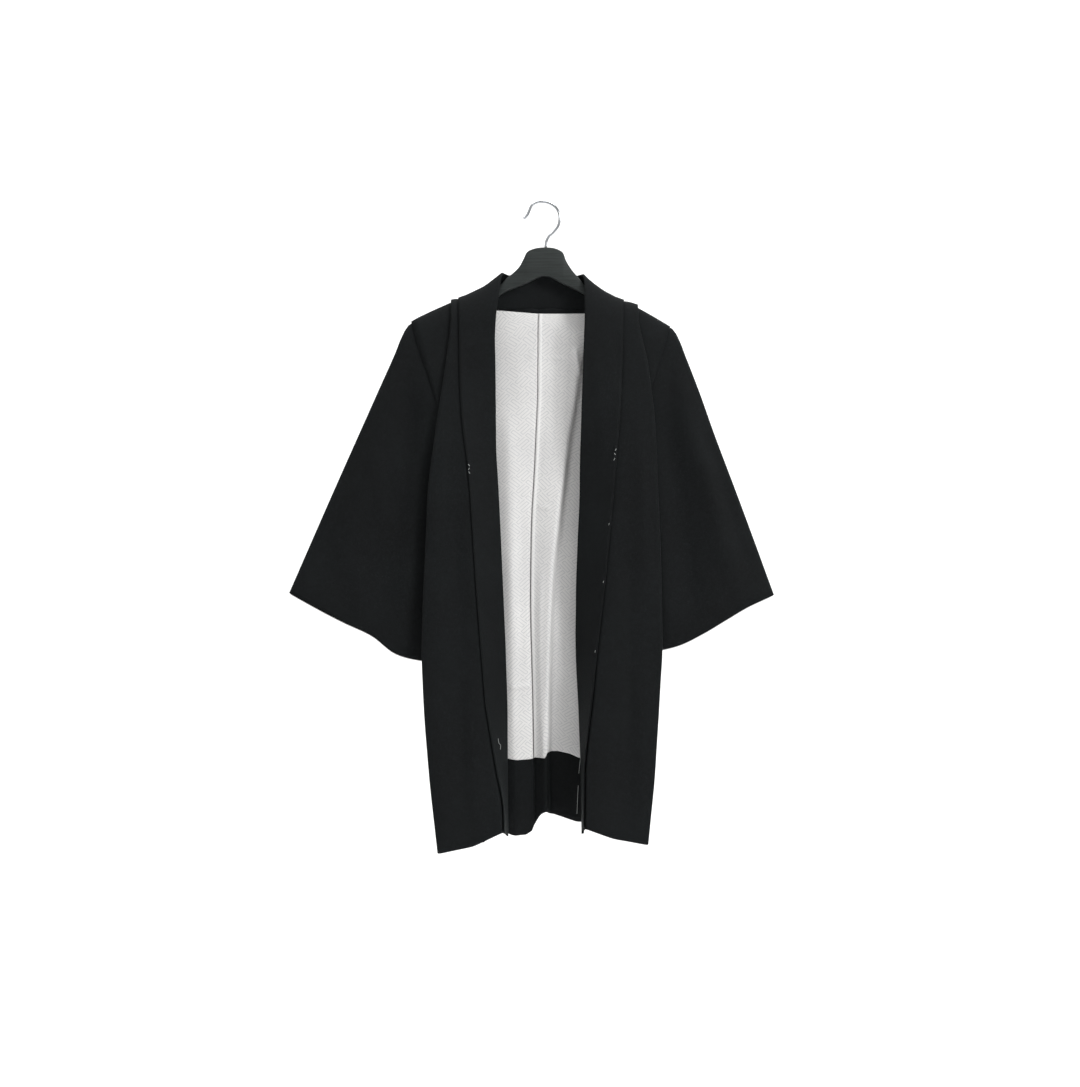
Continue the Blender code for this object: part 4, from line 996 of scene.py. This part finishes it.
def inside_of_back(side, first, last, distances):
    """Rows of the back moved off it to the inside, by a distance read from a table of runs."""
    rows = [run for run in RUNS_BACK if run >= LINING_FROM]
    points = np.array([body_row(side, run, True, 2) for run in rows])
    normal = normals_of(points)
    normal[:, 0, 0] = 0
    normal /= np.linalg.norm(normal, axis=2, keepdims=True)
    normal *= -np.sign(normal[:, :, 1:2])
    far = np.array([float(read(distances, run)[0]) for run in rows])
    moved = points + normal * far[:, None, None]
    keep = [j for j, run in enumerate(rows) if first <= run <= last]
    return moved[keep][:, : BACK_COLUMNS[side] + 2]


def make_body(side, crepe):
    rows = [body_row(side, run, False, 2) for run in RUNS_FRONT]
    rows.append(body_row(side, 0.0, False, 2))
    rows += [body_row(side, run, True, 2) for run in RUNS_BACK]
    return shell("panel_" + side, settled(finer(rows)), WALL, crepe)


def make_collar(crepe):
    over, normal = over_layer(collar_runs())
    normal = under_side(normal)
    grid = []
    for points, down in zip(over, normal):
        towards = (points[4] - points[3]) / np.linalg.norm(points[4] - points[3])
        under = points + down * LAYERS
        turn = []
        for angle in np.linspace(-math.pi / 2, math.pi / 2, 5)[1:-1]:
            out, under_by = CREASE * math.cos(angle), LAYERS * (1 + math.sin(angle)) / 2
            turn.append(points[4] + towards * out + down[4] * under_by)
        grid.append([*points, *turn, *under[:1:-1]])
    return shell("collar_band", settled(finer(grid)), WALL, crepe)


def sleeve_grid(side, shares):
    return np.array([sleeve_ring(side, share) for share in shares])


def make_sleeve(side, crepe):
    grid = finer(sleeve_grid(side, SLEEVE_ALONG), closed=True)
    y = grid[..., 1]
    clear = np.clip(np.abs(y) / 6.0, 0, 1)
    rows = np.linspace(0, 1, len(grid))[:, None]
    clear *= np.clip((rows - 0.08) / 0.12, 0, 1)
    lift = rise_at(grid, SLEEVE_CREASES[side]) + unevenness(grid)
    grid[..., 1] = y + clear * lift * np.sign(y) * np.where(y < 0, 1.0, 0.8)
    return shell("sleeve_cloth_" + side, lifted(grid), WALL, crepe, closed=True)


def make_cuff_lining(side, silk):
    rings = [np.array(sleeve_ring(side, share)) for share in (CUFF_FROM, 1.0)]
    ahead = rings[1] - rings[0]
    ahead /= np.linalg.norm(ahead, axis=1, keepdims=True)
    grid = np.array([*rings, rings[1] + ahead * CUFF_RIM])
    inward = normals_of(grid, ring=True)
    if inward[0][len(SLEEVE_ACROSS) // 2][1] < 0:
        inward = -inward
    grid = finer(grid + inward * (CLOSE + 0.1), closed=True)
    y = grid[..., 1]
    lift = rise_at(grid, SLEEVE_CREASES[side]) + unevenness(grid)
    grid[..., 1] = y + np.clip(np.abs(y) / 6.0, 0, 1) * lift * np.sign(y) * np.where(y < 0, 1.0, 0.8)
    return shell("cuff_silk_" + side, grid, LINING_WALL, silk, closed=True)


def make_gusset(side, crepe):
    grid = []
    for run in GUSSET_RUNS:
        front, rear = body_row(side, run, False)[-1], body_row(side, run, True)[-1]
        room = np.array((0.0, SEAM + CREPE / 2, 0.0))
        grid.append([front + room, (front + rear) / 2, rear - room])
    return shell("side_gusset_" + side, settled(finer(grid)), WALL, crepe)


def make_lining(side, silk):
    grid = inside_of_back(side, LINING_FROM, LINING_TO, LINING_OFF)
    narrower = LINING_HALF / max(abs(grid[0][:, 0]))
    for point in grid[0][1:]:
        point[0] *= min(1.0, narrower)
    for point in grid[0]:
        point[2] = LINING_TOP
        point[1] = under_layer(point[0], point[2], CLOSE + SEAM)
    grid = finer(grid, size=2.5, size_down=2.6)
    grid = settled(grid)
    lift = rise_at(grid, LINING_CREASES)
    off = np.abs(grid[..., 0] - grid[:, :1, 0])
    if side == "right":
        near = np.clip((grid[..., 2] + 420.0) / 170.0, 0, 1) * np.clip((-176.0 - grid[..., 2]) / 30.0, 0, 1)
        lift = lift + NECK_FOLD * near * np.clip((grid[..., 0] - 14.0) / 34.0, 0, 1)
        lift = lift + SEAM_FOLD * np.clip(1.0 - off / SEAM_WIDE, 0, 1)
    else:
        lift = lift - SEAM_FOLD / 2 * np.exp(-((off / (SEAM_WIDE / 3)) ** 2))
    grid[..., 1] -= lift
    low = np.clip((-790.0 - grid[..., 2]) / 90.0, 0, 1)
    grid[..., 2] += low * np.interp(grid[..., 0], *np.array(LINING_HANG).T)
    high = np.clip((grid[..., 2] + 200.0) / 26.0, 0, 1)
    grid[..., 2] += 4.5 * high * np.clip((-10.0 - grid[..., 0]) / 60.0, 0, 1)
    return shell("lining_silk_" + side, grid, LINING_WALL, silk)


def make_turn_up(side, crepe):
    grid = inside_of_back(side, TURN_UP_FROM, 1.0, ((0.0, CLOSE), (1.0, CLOSE)))
    return shell("turned_hem_" + side, settled(finer(grid)), 0.8 * WALL, crepe)


def make_chi(side, crepe):
    """The tie loop: a narrow folded strip sewn down at both ends, standing off a little between them."""
    runs = collar_runs()
    over, normal = over_layer(runs)
    over = over - under_side(normal) * ((CREPE + CHI_WALL) / 2 + SEAM)
    if side == "right":
        over = over[::-1]
    grid = []
    for run in np.linspace(CHI_RUNS[side][0], CHI_RUNS[side][-1], 9):
        free, inner = [
            np.array([np.interp(-run, runs, over[: len(runs), i, axis]) for axis in range(3)]) for i in (0, 1)
        ]
        grid.append([free + (inner - free) * reach / PANEL_LAP for reach in np.linspace(*CHI_REACH, 5)])
    grid = settled(np.array(grid))
    swell = np.sin(np.linspace(0, math.pi, len(grid)))
    grid[..., 1] -= 0.9 * swell[:, None]
    return shell("tie_loop_" + side, grid, 0.9, crepe)


def make_hanger(wood):
    """The flat wooden hanger with soft rounded edges."""
    top = curved([(x, 0.0, z) for x, z in HANGER_TOP], 3.0)
    under = curved([(x, 0.0, z) for x, z in reversed(HANGER_UNDER)], 3.0)
    top_line, under_line = top[:, [0, 2]], under[:, [0, 2]]
    places = np.unique(np.round(np.concatenate([top_line[:, 0], np.linspace(-195, 182, 150)]), 2))
    grid = []
    for x in places:
        high = float(np.interp(x, top_line[:, 0], top_line[:, 1]))
        low = float(np.interp(x, under_line[:, 0], under_line[:, 1]))
        ring = []
        for centre_y, centre_z, start in (
            (ARM_HALF - ARM_EDGE, high - ARM_EDGE, 0.0),
            (ARM_EDGE - ARM_HALF, high - ARM_EDGE, 90.0),
            (ARM_EDGE - ARM_HALF, low + ARM_EDGE, 180.0),
            (ARM_HALF - ARM_EDGE, low + ARM_EDGE, 270.0),
        ):
            for angle in np.radians(np.linspace(start, start + 90.0, 5)):
                y, z = ARM_EDGE * math.cos(angle), ARM_EDGE * math.sin(angle)
                ring.append((x, centre_y + y, centre_z + z))
        grid.append(ring)
    return solid_of_rings("hanger_wood", np.array(grid), wood)


def solid_of_rings(name, grid, finish_of):
    """A closed body through rings of points, its two ends rounded in."""
    rows, columns = grid.shape[:2]
    ends = []
    for row, neighbour in ((0, 1), (-1, -2)):
        middle = grid[row].mean(axis=0)
        out = middle - grid[neighbour].mean(axis=0)
        out = out / np.linalg.norm(out)
        reach = np.linalg.norm(grid[row] - middle, axis=1).min() * 0.25
        cap = ((0.86, 0.5), (0.55, 0.9), (0.15, 1.0))
        ends.append([middle + (grid[row] - middle) * across + out * reach * beyond for across, beyond in cap])
    grid = np.concatenate([np.array(ends[0][::-1]), grid, np.array(ends[1])])
    rows = len(grid)
    index = np.arange(rows * columns).reshape(rows, columns)
    ahead = np.roll(index, -1, axis=1)
    corners = (index[:-1], ahead[:-1], ahead[1:], index[1:])
    faces = np.stack([corner.ravel() for corner in corners], axis=1).tolist()
    faces += [index[0].tolist(), index[-1][::-1].tolist()]
    mesh = bpy.data.meshes.new(name)
    mesh.from_pydata((grid.reshape(-1, 3) * MM).tolist(), [], faces)
    mesh.uv_layers.new(name="cloth")
    return placed(name, mesh, finish_of)


def tube_grid(path, radius, sides):
    path = np.array(path, float)
    tangents = np.gradient(path, axis=0)
    rings = []
    for point, tangent in zip(path, tangents):
        tangent = tangent / np.linalg.norm(tangent)
        side = np.array((0.0, 1.0, 0.0))
        side = side - tangent * side.dot(tangent)
        side /= np.linalg.norm(side)
        other = np.cross(tangent, side)
        ring = []
        for k in range(sides):
            angle = 2 * math.pi * k / sides
            ring.append(point + radius * (math.cos(angle) * side + math.sin(angle) * other))
        rings.append(ring)
    return np.array(rings)


def make_hook(chrome):
    path = curved([(x, 0.0, z) for x, z in HOOK], 1.5)
    return solid_of_rings("hook_wire", tube_grid(path, WIRE, 20), chrome)


def thread(name, path, radius, finish_of):
    return solid_of_rings(name, tube_grid(curved(path, 0.8), radius, 6), finish_of)


THREAD_OFF = 0.2  # room between a thread and the cloth under it
# Loose threads and small stitches: name, radius, and points in the photograph's pixels
STITCHES = (
    ("left_loop_stitch_1", 0.42, ((468.2, 464.2), (469.6, 466.0))),
    ("left_loop_stitch_2", 0.42, ((469.4, 468.0), (468.4, 469.8))),
    ("left_loop_stitch_3", 0.42, ((468.6, 471.6), (469.8, 473.4))),
    ("right_loop_stitch_1", 0.42, ((616.2, 448.8), (615.2, 450.6))),
    ("right_loop_stitch_2", 0.42, ((614.4, 453.0), (615.4, 454.8))),
    ("right_loop_stitch_3", 0.42, ((615.0, 458.0), (613.8, 460.2))),
    ("edge_stitch_1", 0.36, ((609.2, 523.2), (608.8, 525.0))),
    ("edge_stitch_2", 0.36, ((603.6, 581.0), (603.2, 582.8))),
    ("edge_stitch_3", 0.36, ((595.4, 650.4), (595.0, 652.4))),
    ("tacking_right", 0.32, ((580.4, 757.6), (579.0, 772.0), (577.9, 792.0), (576.9, 814.0))),
    ("tacking_left", 0.36, ((498.2, 738.6), (498.9, 743.0), (500.6, 745.4), (500.3, 749.4))),
)


def make_stitches(pieces, cotton):
    """Lays each thread on the piece that the camera sees there."""
    lens = Vector(LENS) * MM
    trees = {}
    for node, piece in pieces.items():
        corners = [vertex.co for vertex in piece.data.vertices]
        trees[node] = BVHTree.FromPolygons(corners, [tuple(face.vertices) for face in piece.data.polygons])
    for name, radius, points in STITCHES:
        path, carriers = [], []
        for across, down in points:
            right, up = (across - PHOTO_WIDTH / 2) * PIXEL * MM, (PHOTO_HEIGHT / 2 - down) * PIXEL * MM
            ray = Vector((right, DISTANCE * MM, up)).normalized()
            hits = [(*tree.ray_cast(lens, ray), node) for node, tree in trees.items()]
            place, normal, face, distance, node = min(
                (hit for hit in hits if hit[0] is not None), key=lambda hit: hit[3]
            )
            path.append(tuple((place - ray * (radius + THREAD_OFF) * MM) / MM))
            carriers.append(node)
        thread(name, path, radius, cotton)


def make_all():
    crepe = silk_crepe()
    silks = {
        "left": lining_silk("grey_fret_lining_silk", patterned=True),
        # The right lining's silk carries a painted highlight along the centre seam
        "right": lining_silk("grey_fret_lining_silk_with_painted_seam_highlight", patterned=True, seam_highlight=True),
    }
    plain_silk = lining_silk("plain_grey_lining_silk", patterned=False)
    pieces = {
        "hanger_body": make_hanger(painted_wood()),
        "hanger_hook": make_hook(chrome_wire()),
        "collar": make_collar(crepe),
    }
    for side in ("left", "right"):
        pieces["body_" + side] = make_body(side, crepe)
        pieces["sleeve_" + side] = make_sleeve(side, crepe)
        pieces["cuff_lining_" + side] = make_cuff_lining(side, plain_silk)
        pieces["gusset_" + side] = make_gusset(side, crepe)
        pieces["lining_" + side] = make_lining(side, silks[side])
        pieces["hem_turn_up_" + side] = make_turn_up(side, crepe)
        pieces["chi_" + side] = make_chi(side, crepe)
    for node, piece in pieces.items():
        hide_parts(node)
    make_stitches(pieces, tacking_cotton())
    return pieces


def make_stage():
    """A pale floor that turns up behind the object into a plain backdrop."""
    profile = [(-4000.0, -1600.0), (600.0, -1600.0)]
    for angle in np.radians(np.linspace(-90, 0, 17)):
        profile.append((700.0 + 900.0 * math.cos(angle), -700.0 + 900.0 * math.sin(angle)))
    profile.append((1600.0, 3500.0))
    places = [(x * MM, y * MM, z * MM) for y, z in profile for x in (-5000.0, 5000.0)]
    faces = [(2 * i, 2 * i + 1, 2 * i + 3, 2 * i + 2) for i in range(len(profile) - 1)]
    mesh = bpy.data.meshes.new("backdrop")
    mesh.from_pydata(places, [], faces)
    mesh.uv_layers.new(name="cloth")
    for face in mesh.polygons:
        face.use_smooth = True
    floor = bpy.data.objects.new("backdrop", mesh)
    bpy.context.scene.collection.objects.link(floor)
    mesh.materials.append(studio_paper())


def lamp(name, place, aim, size, power):
    light = bpy.data.lights.new(name, "AREA")
    light.shape = "RECTANGLE"
    light.size, light.size_y = size
    light.energy = power
    thing = bpy.data.objects.new(name, light)
    thing.location = place
    thing.rotation_euler = (Vector(aim) - Vector(place)).to_track_quat("-Z", "Y").to_euler()
    bpy.context.scene.collection.objects.link(thing)


def make_light():
    world = bpy.data.worlds.new("soft_daylight")
    bpy.context.scene.world = world
    world.use_nodes = True
    world.node_tree.nodes["Background"].inputs["Color"].default_value = linear("#ffffff")
    world.node_tree.nodes["Background"].inputs["Strength"].default_value = 0.42
    lamp("key", (2.4, -2.7, 1.0), (0.0, 0.0, -0.5), (1.0, 1.0), 92.0)
    lamp("fill", (-1.4, -3.2, 1.2), (0.0, 0.0, -0.6), (2.0, 2.0), 10.0)
    lamp("paper", (0.0, -0.2, 2.6), (0.0, 1.7, -0.6), (3.4, 1.0), 130.0)
    bpy.context.scene.view_settings.view_transform = "Standard"


def make_camera():
    """At the photograph's viewing angle: straight on, level with the jacket's middle."""
    camera = bpy.data.cameras.new("camera")
    camera.sensor_width = 36.0
    camera.lens = camera.sensor_width * DISTANCE / (PHOTO_HEIGHT * PIXEL)
    camera.clip_end = 50.0
    thing = bpy.data.objects.new("camera", camera)
    thing.location = Vector(LENS) * MM
    thing.rotation_euler = (math.radians(90), 0.0, 0.0)
    bpy.context.scene.collection.objects.link(thing)
    bpy.context.scene.camera = thing


pieces = make_all()
make_stage()
make_light()
make_camera()
